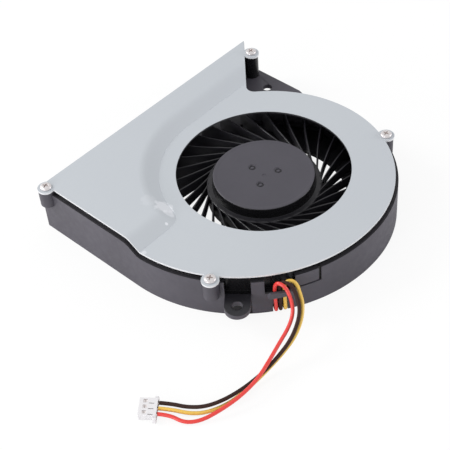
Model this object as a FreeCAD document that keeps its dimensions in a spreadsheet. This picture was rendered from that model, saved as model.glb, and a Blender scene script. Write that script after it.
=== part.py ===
# Flat centrifugal blower for a portable computer: a sheet metal cover on a moulded volute,
# an impeller on an outer-rotor motor, three leads and a small white connector.
# Millimetres and degrees. The origin is on the impeller's axis at the underside of the base,
# +Z is up along the axis and the air leaves towards +Y.

import FreeCAD
import Part
import math
import os
import Sketcher

os.makedirs("parts", exist_ok=True)
doc = FreeCAD.newDocument("Blower")
Vector = FreeCAD.Vector


# Driving dimensions

SIZES = (
    ("inlet_radius", 22.0, "air inlet in the cover"),
    ("round_top", 12.2, "top of the cover over the impeller"),
    ("outlet_top", 14.6, "top of the cover over the air outlet"),
    ("cover_sheet", 0.5, "thickness of the cover"),
    ("cover_left", 40.15, "axis to the cover's straight left edge"),
    ("outlet_edge", 37.15, "axis to the cover's edge at the outlet"),
    ("volute_radius", 38.6, "large arc of the volute"),
    ("volute_rise", 5.0, "centre of the large arc, along Y"),
    ("tail_radius", 32.15, "small arc of the volute"),
    ("tail_angle", -83.3, "direction where the small arc takes over"),
    ("tip_reach", 34.1, "axis to the cover's pointed corner, along X"),
    ("throat_angle", 43.8, "slant of the outlet's right edge"),
    ("throat_bend", 2.3, "bend between the small arc and the slanted edge"),
    ("crease_left", 3.55, "foot of the cover's step at the left edge, along Y"),
    ("crease_radius", 26.2, "foot of the step round the inlet"),
    ("crease_corner", 4.5, "corner between the two"),
    ("slope_width", 3.9, "width of the sloping step in plan"),
    ("wall_ledge", 0.75, "wall's outer face beyond the cover's edge"),
    ("wall_thickness", 1.7, "volute wall"),
    ("rim_height", 0.9, "narrow rim between the ledge and the cover"),
    ("rim_inset", 0.25, "rim's outer face inside the cover's edge"),
    ("floor_thickness", 1.2, "floor of the base"),
    ("floor_reach", 0.85, "base beyond the cover at the outlet"),
    ("window_radius", 21.5, "air inlet in the floor"),
    ("seat_radius", 12.6, "disc that carries the motor"),
    ("arm_width", 2.6, "arms between the disc and the floor"),
    ("boss_radius", 2.0, "screw bosses"),
    ("tab_radius", 2.15, "cover's screw tabs"),
    ("corner_out", 0.65, "corner screw beyond the cover's left edge"),
    ("corner_back", 1.55, "corner screw behind the outlet edge"),
    ("throat_out", 1.8, "throat screw beyond the slanted edge"),
    ("throat_back", 5.6, "throat screw back along the slanted edge"),
    ("rear_out", 1.1, "rear screw beyond the small arc"),
    ("rear_angle", -26.4, "direction of the rear screw from the small arc's centre"),
    ("front_out", 1.3, "front screw beyond the large arc"),
    ("front_angle", -149.4, "direction of the front screw from the volute centre"),
    ("screw_radius", 0.8, "cover screw shank"),
    ("screw_length", 3.4, "cover screw shank length"),
    ("head_radius", 1.5, "cover screw head"),
    ("head_height", 0.75, "cover screw head height"),
    ("thread_gap", 0.05, "play between the shank and its hole"),
    ("short_boss", 5.3, "height of the two short bosses at the round wall"),
    ("corner_boss", 3.9, "height of the boss at the outlet's left corner"),
    ("ear_top", 7.0, "top of the mounting ears"),
    ("ear_thickness", 1.4, "mounting ears"),
    ("ear_radius", 3.1, "rounded end of the front ear"),
    ("ear_hole", 1.25, "mounting hole radius"),
    ("ear_offset", 3.55, "front mounting hole beyond the wall's face"),
    ("ear_angle", -140.6, "direction of the front ear from the volute centre"),
    ("flange_out", 5.7, "rear mounting hole beyond the slanted edge"),
    ("flange_back", 11.7, "rear mounting hole back along the slanted edge"),
    ("pocket_depth", 1.5, "recess above the front ear"),
    ("backing", 1.0, "wall left behind a recess"),
    ("lead_angle", -126.4, "direction of the wire exit from the volute centre"),
    ("lead_radius", 0.45, "wires"),
    ("channel_width", 3.5, "wire channel in the base"),
    ("channel_depth", 1.2, "wire channel in the base"),
    ("channel_run", 22.4, "wall's face back to the solder joints"),
    ("rail_width", 0.95, "sides of the wire channel"),
    ("solder_room", 2.6, "open end of the channel under the solder joints"),
    ("notch_depth", 1.1, "notch in the wall's foot for the wires"),
    ("notch_height", 2.6, "notch in the wall's foot for the wires"),
    ("roof", 0.9, "plate over the wire channel"),
    ("hook_gap", 1.2, "room for the wires behind the hook"),
    ("hook_thickness", 0.8, "retaining hook"),
    ("hook_height", 1.7, "retaining hook"),
    ("hook_bottom", 6.6, "underside of the retaining hook"),
    ("hook_length", 6.4, "retaining hook"),
    ("hook_margin", 0.3, "recess beyond the free end of the hook"),
    ("line_sweep", 8.2, "moulded line beside the wire exit"),
    ("line_width", 0.35, "moulded line beside the wire exit"),
    ("line_depth", 0.4, "moulded line beside the wire exit"),
    ("hub_radius", 13.2, "top of the impeller's hub"),
    ("hub_top", 10.4, "top of the hub"),
    ("skirt_radius", 14.6, "hub where the blades start"),
    ("skirt_top", 7.6, "step round the hub"),
    ("rotor_bottom", 3.0, "underside of the impeller"),
    ("hub_roof", 1.1, "top disc of the hub"),
    ("yoke_radius", 12.3, "steel cup inside the hub"),
    ("yoke_sheet", 0.6, "thickness of the steel cup"),
    ("magnet_ring", 1.2, "radial thickness of the ring magnet"),
    ("magnet_height", 4.2, "ring magnet"),
    ("blade_count", 31, "blades"),
    ("blade_thickness", 0.55, "blades"),
    ("blade_tip", 28.6, "tip of the blades"),
    ("blade_top", 9.2, "top of the blades at their tips"),
    ("blade_foot", 5.2, "underside of the blades beside the hub"),
    ("blade_start", 3.0, "direction of the first blade's root"),
    ("blade_sweep", 39.5, "angle between a blade's root and tip"),
    ("blade_bow", 90.0, "radius of a blade's curve"),
    ("ring_width", 1.0, "ring under the blade tips"),
    ("ring_height", 0.8, "ring under the blade tips"),
    ("gate_radius", 3.85, "gate marks from the axis"),
    ("shaft_radius", 1.0, "motor shaft"),
    ("shaft_foot", 0.87, "rounded lower end of the shaft"),
    ("shaft_play", 0.02, "radial play of the shaft in its bearing"),
    ("bearing_radius", 2.5, "outside of the sleeve bearing"),
    ("tube_radius", 3.2, "outside of the bearing tube"),
    ("tube_foot", 0.4, "underside of the bearing tube"),
    ("tube_top", 7.7, "top of the bearing tube"),
    ("board_seat", 1.9, "underside of the motor board"),
    ("board_sheet", 0.6, "motor board"),
    ("board_radius", 11.9, "motor board"),
    ("core_radius", 10.1, "stator core"),
    ("core_bottom", 4.7, "underside of the stator core"),
    ("core_height", 2.0, "stator core"),
    ("pole_count", 4, "poles of the stator"),
    ("pole_width", 2.6, "arms of the stator core"),
    ("shoe_width", 1.3, "pole shoes, radially"),
    ("shoe_angle", 66.0, "arc of one pole shoe"),
    ("insulator", 0.4, "insulators on the core"),
    ("coil_wall", 1.1, "thickness of a coil round its pole"),
    ("plug_length", 4.6, "connector"),
    ("plug_width", 5.9, "connector"),
    ("plug_height", 2.3, "connector"),
    ("plug_pitch", 1.5, "between the connector's contacts"),
    ("plug_cavity", 1.1, "openings for the contacts"),
    ("plug_angle", 125.0, "direction in which the connector mates"),
    ("plug_x", -64.2, "middle of the connector's wire side"),
    ("plug_y", -25.15, "middle of the connector's wire side"),
    ("plug_ear", 0.75, "ears at the connector's wire side"),
)


class Size:
    """A number of the sheet, or a formula of such numbers, with its present value."""

    def __init__(self, value, formula):
        self.value = value
        self.formula = formula

    def __add__(self, other):
        other = sized(other)
        return Size(self.value + other.value, f"({self.formula} + {other.formula})")

    def __sub__(self, other):
        other = sized(other)
        return Size(self.value - other.value, f"({self.formula} - {other.formula})")

    def __mul__(self, other):
        other = sized(other)
        return Size(self.value * other.value, f"({self.formula} * {other.formula})")

    def __truediv__(self, other):
        other = sized(other)
        return Size(self.value / other.value, f"({self.formula} / {other.formula})")

    def __radd__(self, other):
        return sized(other) + self

    def __rsub__(self, other):
        return sized(other) - self

    def __rmul__(self, other):
        return sized(other) * self

    def __neg__(self):
        return Size(-self.value, f"(0 - {self.formula})")


def sized(number):
    return number if isinstance(number, Size) else Size(float(number), f"{float(number):.6f}")


def cosine(angle):
    return Size(math.cos(math.radians(angle.value)), f"cos({angle.formula})")


def sine(angle):
    return Size(math.sin(math.radians(angle.value)), f"sin({angle.formula})")


def root(number):
    return Size(math.sqrt(number.value), f"sqrt({number.formula})")


class Sheet:
    """The spreadsheet of driving dimensions, with one Size for each alias."""

    def __init__(self):
        cells = doc.addObject("Spreadsheet::Sheet", "Sizes")
        for row, (alias, number, note) in enumerate(SIZES, 1):
            cells.set(f"A{row}", note)
            cells.set(f"B{row}", str(number))
            cells.setAlias(f"B{row}", alias)
            setattr(self, alias, Size(number, f"Sizes.{alias}"))


S = Sheet()
doc.recompute()


# Building blocks

def bind(piece, **sizes):
    for name, size in sizes.items():
        piece.setExpression(name, sized(size).formula)
    return piece


def place(piece, x=0, y=0, z=0, turn=0):
    for name, size in (("Base.x", x), ("Base.y", y), ("Base.z", z), ("Rotation.Angle", turn)):
        piece.setExpression(f"Placement.{name}", sized(size).formula)
    return piece


def box(name, length, width, height, x=0, y=0, z=0, turn=0):
    piece = bind(doc.addObject("Part::Box", name), Length=length, Width=width, Height=height)
    return place(piece, x, y, z, turn)


def cylinder(name, radius, height, x=0, y=0, z=0):
    piece = bind(doc.addObject("Part::Cylinder", name), Radius=radius, Height=height)
    return place(piece, x, y, z)


def sector(name, radius, height, angle, x, y, z, turn):
    return bind(place(bind(doc.addObject("Part::Cylinder", name), Radius=radius, Height=height),
                      x, y, z, turn), Angle=angle)


def fuse(name, pieces):
    piece = doc.addObject("Part::MultiFuse", name)
    piece.Shapes = pieces
    piece.Refine = True
    return piece


def cut(name, base, tools):
    piece = doc.addObject("Part::Cut", name)
    piece.Base = base
    piece.Tool = tools[0] if len(tools) == 1 else fuse(f"{name}_tools", tools)
    piece.Refine = True
    return piece


def common(name, first, second):
    piece = doc.addObject("Part::MultiCommon", name)
    piece.Shapes = [first, second]
    return piece


def group(name, pieces):
    piece = doc.addObject("Part::Compound", name)
    piece.Links = pieces
    return piece


def ring(name, outer, inner, height, z):
    whole = cylinder(f"{name}_outside", outer, height, z=z)
    hole = cylinder(f"{name}_hole", inner, height + 2, z=z - 1)
    return cut(name, whole, [hole])


def at_wall(outward, aside, angle, turned=0):
    """Place and turn of a piece that starts outward from the wall's face and lies aside of
    the line from the volute centre in the given direction."""
    reach = S.volute_radius + S.wall_ledge + outward
    x = volute_x + reach * cosine(angle) - aside * sine(angle)
    y = S.volute_rise + reach * sine(angle) + aside * cosine(angle)
    return {"x": x, "y": y, "turn": angle + turned}


def fix(sketch, shape, end, x, y):
    for kind, size in (("DistanceX", sized(x)), ("DistanceY", sized(y))):
        index = sketch.addConstraint(Sketcher.Constraint(kind, -1, 1, shape, end, size.value))
        sketch.setExpression(f"Constraints[{index}]", size.formula)


def dimension(sketch, kind, shape, size):
    value = math.radians(size.value) if kind == "Angle" else size.value
    index = sketch.addConstraint(Sketcher.Constraint(kind, shape, value))
    sketch.setExpression(f"Constraints[{index}]", size.formula)


def arc_between(start, end, radius, turn):
    """Arc shorter than half a circle, turning left (+1) or right (-1) on its way."""
    chord = end - start
    rise = math.sqrt(max(radius ** 2 - (chord.Length / 2) ** 2, 0.0))
    left = Vector(-chord.y, chord.x, 0).normalize()
    centre = start + chord * 0.5 + left * (rise * turn)
    first, last = (start, end) if turn > 0 else (end, start)
    from_angle = math.atan2(first.y - centre.y, first.x - centre.x)
    to_angle = math.atan2(last.y - centre.y, last.x - centre.x)
    circle = Part.Circle(centre, Vector(0, 0, 1), radius)
    return Part.ArcOfCircle(circle, from_angle, to_angle)


def outline(sketch, corners):
    """Closed outline through corners (x, y), or (x, y, radius, turn) where an arc follows."""
    spots = [Vector(sized(c[0]).value, sized(c[1]).value, 0) for c in corners]
    ends = []
    for index, corner in enumerate(corners):
        start = spots[index]
        end = spots[(index + 1) % len(spots)]
        if len(corner) == 2:
            shape = sketch.addGeometry(Part.LineSegment(start, end))
            ends.append((shape, 1, 2))
        else:
            radius = sized(corner[2])
            shape = sketch.addGeometry(arc_between(start, end, radius.value, corner[3]))
            ends.append((shape, 1, 2) if corner[3] > 0 else (shape, 2, 1))
            dimension(sketch, "Radius", shape, radius)
    for index, (shape, first, last) in enumerate(ends):
        after = ends[(index + 1) % len(ends)]
        sketch.addConstraint(Sketcher.Constraint("Coincident", shape, last, after[0], after[1]))
        fix(sketch, shape, first, corners[index][0], corners[index][1])
    return sketch


def flat_sketch(name, corners):
    return outline(doc.addObject("Sketcher::SketchObject", name), corners)


def circle_in(sketch, x, y, radius):
    shape = sketch.addGeometry(Part.Circle(Vector(sized(x).value, sized(y).value, 0),
                                           Vector(0, 0, 1), sized(radius).value))
    fix(sketch, shape, 3, x, y)
    dimension(sketch, "Radius", shape, sized(radius))


def extrude(name, sketch, height, z=0):
    piece = doc.addObject("Part::Extrusion", name)
    piece.Base = sketch
    piece.DirMode = "Custom"
    piece.Dir = Vector(0, 0, 1)
    piece.Solid = True
    bind(piece, LengthFwd=height)
    place(sketch, z=z)
    return piece


def new_body(name):
    return doc.addObject("PartDesign::Body", name)


def sketch_in(body, name, plane="XY_Plane", lift=0):
    sketch = body.newObject("Sketcher::SketchObject", name)
    support = [item for item in body.Origin.OriginFeatures if item.Role == plane][0]
    sketch.AttachmentSupport = [(support, "")]
    sketch.MapMode = "FlatFace"
    sketch.setExpression("AttachmentOffset.Base.z", sized(lift).formula)
    return sketch


def pad(body, name, sketch, length):
    feature = body.newObject("PartDesign::Pad", name)
    feature.Profile = sketch
    return bind(feature, Length=length)


def pocket(body, name, sketch, length):
    feature = body.newObject("PartDesign::Pocket", name)
    feature.Profile = sketch
    return bind(feature, Length=length)


def turned(body, name, corners, removes=False):
    """Profile of (radius, height) corners turned round the vertical axis."""
    sketch = outline(sketch_in(body, f"{name}_profile", "XZ_Plane"), corners)
    kind = "PartDesign::Groove" if removes else "PartDesign::Revolution"
    feature = body.newObject(kind, name)
    feature.Profile = sketch
    feature.ReferenceAxis = (sketch, ["V_Axis"])
    feature.Angle = 360
    return feature


def repeat(body, name, feature, sketch, count):
    pattern = body.newObject("PartDesign::PolarPattern", name)
    pattern.Originals = [feature]
    pattern.Axis = (sketch, ["N_Axis"])
    pattern.Angle = 360
    bind(pattern, Occurrences=count)
    body.Tip = pattern
    return pattern


# Plan of the volute

volute_x = S.volute_radius - S.cover_left
tail_x = volute_x + (S.volute_radius - S.tail_radius) * cosine(S.tail_angle)
tail_y = S.volute_rise + (S.volute_radius - S.tail_radius) * sine(S.tail_angle)


def on_slant(back, out):
    """Point back from the cover's pointed corner along its slanted edge, and out from it."""
    x = S.tip_reach - back * cosine(S.throat_angle) + out * sine(S.throat_angle)
    y = S.outlet_edge - back * sine(S.throat_angle) - out * cosine(S.throat_angle)
    return x, y


tall_boss = S.outlet_top - S.cover_sheet - S.ear_top + S.ear_thickness
SCREWS = (
    ("corner", -(S.cover_left + S.corner_out), S.outlet_edge - S.corner_back, S.outlet_top, S.corner_boss),
    ("throat", *on_slant(S.throat_back, S.throat_out), S.outlet_top, tall_boss),
    ("rear", tail_x + (S.tail_radius + S.rear_out) * cosine(S.rear_angle),
     tail_y + (S.tail_radius + S.rear_out) * sine(S.rear_angle), S.round_top, S.short_boss),
    ("front", volute_x + (S.volute_radius + S.front_out) * cosine(S.front_angle),
     S.volute_rise + (S.volute_radius + S.front_out) * sine(S.front_angle), S.round_top, S.short_boss),
)
flange_x, flange_y = on_slant(S.flange_back, S.flange_out)


def throat_start(grow):
    """Where the small arc, the throat's bend and the slanted edge meet."""
    along = Vector(cosine(S.throat_angle).value, sine(S.throat_angle).value, 0)
    aside = Vector(along.y, -along.x, 0)
    bend = S.throat_bend.value - grow
    arc = S.tail_radius.value + grow
    centre = Vector(tail_x.value, tail_y.value, 0)
    edge = Vector(S.tip_reach.value, S.outlet_edge.value, 0) + aside * grow
    offset = edge + aside * bend - centre
    run = offset.dot(along)
    pivot = centre + offset + along * (math.sqrt(run ** 2 - offset.Length ** 2 + (arc + bend) ** 2) - run)
    return centre + (pivot - centre) * (arc / (arc + bend)), pivot - aside * bend


def volute_outline(name, grow, reach):
    """The cover's plan, grown outwards, with its outlet edge at the given reach along Y."""
    sketch = doc.addObject("Sketcher::SketchObject", name)
    grow = sized(grow)
    left = -(S.cover_left + grow)
    big = S.volute_radius + grow
    small = S.tail_radius + grow
    joint = Vector((tail_x + small * cosine(S.tail_angle)).value,
                   (tail_y + small * sine(S.tail_angle)).value, 0)
    nose, slant = throat_start(grow.value)
    tip_x = (S.tip_reach + grow / sine(S.throat_angle)
             + (reach - S.outlet_edge) * cosine(S.throat_angle) / sine(S.throat_angle))
    top_left = Vector(left.value, reach.value, 0)
    shoulder = Vector(left.value, S.volute_rise.value, 0)
    tip = Vector(tip_x.value, reach.value, 0)
    sketch.addGeometry([
        Part.LineSegment(top_left, shoulder),
        arc_between(shoulder, joint, big.value, 1),
        arc_between(joint, nose, small.value, 1),
        arc_between(nose, slant, S.throat_bend.value - grow.value, -1),
        Part.LineSegment(slant, tip),
        Part.LineSegment(tip, top_left),
    ])
    sketch.addConstraint([
        Sketcher.Constraint("Tangent", 0, 2, 1, 1),
        Sketcher.Constraint("Tangent", 1, 2, 2, 1),
        Sketcher.Constraint("Tangent", 2, 2, 3, 2),
        Sketcher.Constraint("Tangent", 3, 1, 4, 1),
        Sketcher.Constraint("Coincident", 4, 2, 5, 1),
        Sketcher.Constraint("Coincident", 5, 2, 0, 1),
        Sketcher.Constraint("Vertical", 0),
        Sketcher.Constraint("Horizontal", 5),
    ])
    fix(sketch, 1, 3, volute_x, S.volute_rise)
    fix(sketch, 4, 2, tip_x, reach)
    dimension(sketch, "Radius", 1, big)
    dimension(sketch, "Radius", 2, small)
    dimension(sketch, "Radius", 3, S.throat_bend - grow)
    dimension(sketch, "Angle", 4, S.throat_angle)
    index = sketch.addConstraint(Sketcher.Constraint("DistanceX", -1, 1, 2, 3, tail_x.value))
    sketch.setExpression(f"Constraints[{index}]", tail_x.formula)
    return sketch


def crease(name, grow, z):
    """Closed outline of the raised outlet part, bounded by one crease of the step."""
    far = S.cover_left + S.volute_radius
    corner = S.crease_corner - grow
    round_inlet = S.crease_radius + grow
    pivot_y = S.crease_left + S.crease_corner
    span = S.crease_radius + S.crease_corner
    pivot_x = -root(span * span - pivot_y * pivot_y)
    level = S.crease_left + grow
    sketch = flat_sketch(name, [
        (-far, level),
        (pivot_x, level, corner, 1),
        (pivot_x * round_inlet / span, pivot_y * round_inlet / span, round_inlet, -1),
        (0, round_inlet),
        (far, round_inlet),
        (far, far),
        (-far, far),
    ])
    return place(sketch, z=z)


def stepped_block(name, grow, reach, drop):
    """Everything under the stepped cover's top face, lowered by a drop."""
    low_plan = volute_outline(f"{name}_low_plan", grow, reach)
    low = extrude(f"{name}_low", low_plan, S.round_top - drop)
    tall_plan = volute_outline(f"{name}_tall_plan", grow, reach)
    tall = extrude(f"{name}_tall", tall_plan, S.outlet_top - drop)
    rise = doc.addObject("Part::Loft", f"{name}_rise")
    rise.Sections = [crease(f"{name}_foot", sized(0), S.round_top - drop),
                     crease(f"{name}_brow", S.slope_width, S.outlet_top - drop)]
    rise.Solid = True
    rise.Ruled = True
    return fuse(name, [low, common(f"{name}_raised", tall, rise)])


# Cover

def make_cover():
    skin = stepped_block("cover_skin", 0, S.outlet_edge, sized(0))
    below = stepped_block("cover_below", 1, S.outlet_edge + 1, S.cover_sheet)
    sheet = cut("cover_sheet_metal", skin, [below])
    tabs = []
    holes = [cylinder("inlet_hole", S.inlet_radius, S.outlet_top + 2)]
    for name, x, y, top, _ in SCREWS:
        tabs.append(cylinder(f"tab_{name}", S.tab_radius, S.cover_sheet, x, y, top - S.cover_sheet))
        holes.append(cylinder(f"tab_hole_{name}", S.screw_radius + S.thread_gap,
                              S.outlet_top + 2, x, y))
    return cut("top_cover", fuse("cover_with_tabs", [sheet] + tabs), holes)


# Screws

def make_screws():
    screws = []
    for name, x, y, top, _ in SCREWS:
        body = new_body(f"screw_{name}")
        turned(body, f"screw_{name}_form", [
            (0, -S.screw_length),
            (S.screw_radius - 0.2, -S.screw_length),
            (S.screw_radius, 0.3 - S.screw_length),
            (S.screw_radius, 0),
            (S.head_radius, 0),
            (S.head_radius, S.head_height * 0.5, S.head_radius, 1),
            (S.head_radius * 0.45, S.head_height),
            (0, S.head_height),
        ])
        doc.recompute()
        cross = sketch_in(body, f"screw_{name}_cross", lift=S.head_height)
        arm = S.head_radius * 0.55
        slot = S.head_radius * 0.13
        outline(cross, [(arm, -slot), (arm, slot), (slot, slot), (slot, arm), (-slot, arm), (-slot, slot),
                        (-arm, slot), (-arm, -slot), (-slot, -slot), (-slot, -arm), (slot, -arm),
                        (slot, -slot)])
        pocket(body, f"screw_{name}_recess", cross, S.head_height * 0.7)
        screws.append(place(body, x, y, top))
    return group("cover_screws", screws)


# Base

def recess_backing(name, width, depth, angle):
    """Inner thickening that keeps the wall closed behind a recess."""
    inner = S.volute_radius + S.wall_ledge - S.wall_thickness * 0.5
    thick = depth + S.backing - S.wall_thickness * 0.5
    spot = at_wall(inner - thick - S.volute_radius - S.wall_ledge, -width * 0.5, angle)
    height = S.round_top - S.cover_sheet - S.floor_thickness
    return box(name, thick, width, height, z=S.floor_thickness, **spot)


def make_base():
    """The walls with all that stands on them, and the plate that closes them below."""
    face_low = S.cover_sheet + S.rim_height
    walls = stepped_block("walls", S.wall_ledge, S.outlet_edge + S.floor_reach, face_low)
    rim = stepped_block("rim", -S.rim_inset, S.outlet_edge, S.cover_sheet)
    ear_low = S.ear_top - S.ear_thickness
    flange_plan = flat_sketch("flange_plan", [
        (S.tip_reach, S.outlet_edge),
        on_slant(S.wall_thickness * 3, -S.wall_thickness * 1.5),
        (tail_x + S.tail_radius * 0.62, tail_y + S.tail_radius * 0.72),
        (tail_x + S.tail_radius * 0.9, tail_y + S.tail_radius * 0.12),
        (tail_x + S.tail_radius * 0.98, tail_y + S.tail_radius * 0.2),
        (S.tip_reach, S.outlet_edge * 0.46),
    ])
    flange = extrude("flange", flange_plan, S.ear_thickness, ear_low)
    ear_run = S.ear_offset + S.wall_thickness
    ear_foot = at_wall(-S.wall_thickness, -S.ear_radius, S.ear_angle)
    ear_plate = box("ear_plate", ear_run, S.ear_radius * 2, S.ear_thickness, z=ear_low, **ear_foot)
    ear_end = at_wall(S.ear_offset, sized(0), S.ear_angle)
    ear_round = cylinder("ear_round", S.ear_radius, S.ear_thickness, ear_end["x"], ear_end["y"], ear_low)
    outside = fuse("base_outside", [walls, rim, flange, ear_plate, ear_round])

    passage_plan = volute_outline("passage_plan", S.wall_ledge - S.wall_thickness, S.outlet_edge + 10)
    passage = extrude("passage", passage_plan, S.outlet_top + 1, sized(-1))
    shell = cut("wall_shell", outside, [passage])
    pocket_width = S.ear_radius * 2
    added = [
        shell,
        recess_backing("ear_backing", pocket_width + S.backing * 2, S.pocket_depth, S.ear_angle),
        recess_backing("lead_backing", S.hook_length + S.backing * 4, S.pocket_depth, S.lead_angle),
    ]
    for name, x, y, top, height in SCREWS:
        added.append(cylinder(f"boss_{name}", S.boss_radius, height, x, y, top - S.cover_sheet - height))
    solid = fuse("wall_solid", added)

    removed = []
    for name, x, y, top, _ in SCREWS:
        removed.append(cylinder(f"pilot_{name}", S.screw_radius + S.thread_gap, S.screw_length, x, y,
                                top - S.screw_length - 0.2))
    removed.append(cylinder("ear_bore", S.ear_hole, S.ear_thickness + 2, ear_end["x"], ear_end["y"],
                            ear_low - 1))
    removed.append(cylinder("flange_bore", S.ear_hole, S.ear_thickness + 2, flange_x, flange_y,
                            ear_low - 1))
    spot = at_wall(-S.pocket_depth, -S.ear_radius, S.ear_angle)
    removed.append(box("ear_pocket", S.pocket_depth + 1, pocket_width, S.round_top, z=S.ear_top, **spot))
    spot = at_wall(-S.pocket_depth, -S.hook_length * 0.5 - S.hook_margin, S.lead_angle)
    removed.append(box("lead_pocket", S.pocket_depth + 1, S.hook_length + S.hook_margin * 3, S.round_top,
                       z=S.ear_top, **spot))
    removed.extend(wire_room("wall"))
    removed.append(groove_line())
    moulding = cut("wall_moulding", solid, removed)

    bar_run = S.hook_length - S.hook_height * 0.5
    spot = at_wall(S.hook_gap, -S.hook_length * 0.5 + S.hook_height * 0.5, S.lead_angle)
    bar = box("hook_bar", S.hook_thickness, bar_run, S.hook_height, z=S.hook_bottom, **spot)
    end = cylinder("hook_end", S.hook_height * 0.5, S.hook_thickness)
    place(end, spot["x"], spot["y"], S.hook_bottom + S.hook_height * 0.5)
    end.Placement.Rotation = FreeCAD.Rotation(spot["turn"].value, 90, 0)
    end.setExpression("Placement.Rotation.Yaw", spot["turn"].formula)
    spot = at_wall(-S.wall_thickness, S.hook_length * 0.5 - S.hook_thickness, S.lead_angle)
    leg = box("hook_leg", S.wall_thickness + S.hook_gap + S.hook_thickness, S.hook_thickness, S.hook_height,
              z=S.hook_bottom, **spot)
    return [fuse("base_housing", [moulding, bar, end, leg]), make_plate(moulding)]


def wire_room(name):
    """Channel and notch that let the wires out under the wall."""
    spot = at_wall(-S.channel_run, -S.channel_width * 0.5, S.lead_angle)
    channel = box(f"{name}_channel", S.channel_run + 1, S.channel_width, S.channel_depth + 1, z=-1, **spot)
    spot = at_wall(-S.notch_depth, -S.channel_width * 0.5, S.lead_angle)
    slot = box(f"{name}_lead_slot", S.notch_depth + 1, S.channel_width, S.notch_height + 1, z=-1, **spot)
    return [channel, slot]


def make_plate(walls):
    """Floor between the walls, with the air inlet, the motor's seat and the wire channel."""
    plate_plan = volute_outline("plate_plan", S.wall_ledge - S.wall_thickness,
                                S.outlet_edge + S.floor_reach)
    plate = extrude("plate", plate_plan, S.floor_thickness)
    window = ring("window_ring", S.window_radius, S.seat_radius, S.floor_thickness + 2, sized(-1))
    added = [cut("plate_blank", plate, [window])]
    for index, angle in enumerate((-60, 60, 180)):
        bar = box(f"arm_{index}", S.window_radius - S.seat_radius + 2, S.arm_width, S.floor_thickness,
                  (S.seat_radius - 1) * cosine(sized(angle)) + S.arm_width * 0.5 * sine(sized(angle)),
                  (S.seat_radius - 1) * sine(sized(angle)) - S.arm_width * 0.5 * cosine(sized(angle)),
                  0, angle)
        added.append(bar)
    outer_width = S.channel_width + S.rail_width * 2
    spot = at_wall(-S.channel_run, -outer_width * 0.5, S.lead_angle)
    added.append(box("channel_cover", S.channel_run - S.wall_thickness * 0.5, outer_width,
                     S.channel_depth + S.roof, **spot))
    spot = at_wall(-S.channel_run - S.solder_room - 0.3, -outer_width * 0.5, S.lead_angle)
    added.append(box("channel_rails", S.solder_room + 0.5, outer_width, S.board_seat, **spot))
    added.append(ring("board_seat_ring", S.tube_radius + 1.8, S.tube_radius,
                      S.board_seat - S.tube_foot, S.tube_foot))
    solid = fuse("plate_solid", added)
    spot = at_wall(-S.channel_run - S.solder_room, -S.channel_width * 0.5, S.lead_angle)
    solder_window = box("solder_window", S.solder_room + 0.05, S.channel_width, S.board_seat + 2, z=-1,
                        **spot)
    tube_bore = cylinder("tube_bore", S.tube_radius, S.board_seat, z=S.tube_foot)
    return cut("base_plate", solid, [*wire_room("plate"), solder_window, tube_bore, walls])


def groove_line():
    """Shallow moulded line on the wall beside the wire exit."""
    face = S.volute_radius + S.wall_ledge
    top = S.round_top - S.cover_sheet - S.rim_height
    level = S.ear_top - S.line_width
    start = S.lead_angle + 6
    sweep = S.line_sweep
    outer = sector("line_outer", face + 1, S.line_width, sweep, volute_x, S.volute_rise, level, start)
    side = sector("line_side", face + 1, top - level, sized(0.6), volute_x, S.volute_rise, level,
                  start + sweep)
    core = cylinder("line_core", face - S.line_depth, S.round_top, volute_x, S.volute_rise)
    return cut("moulded_line", fuse("line_strip", [outer, side]), [core])


# Impeller

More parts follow.
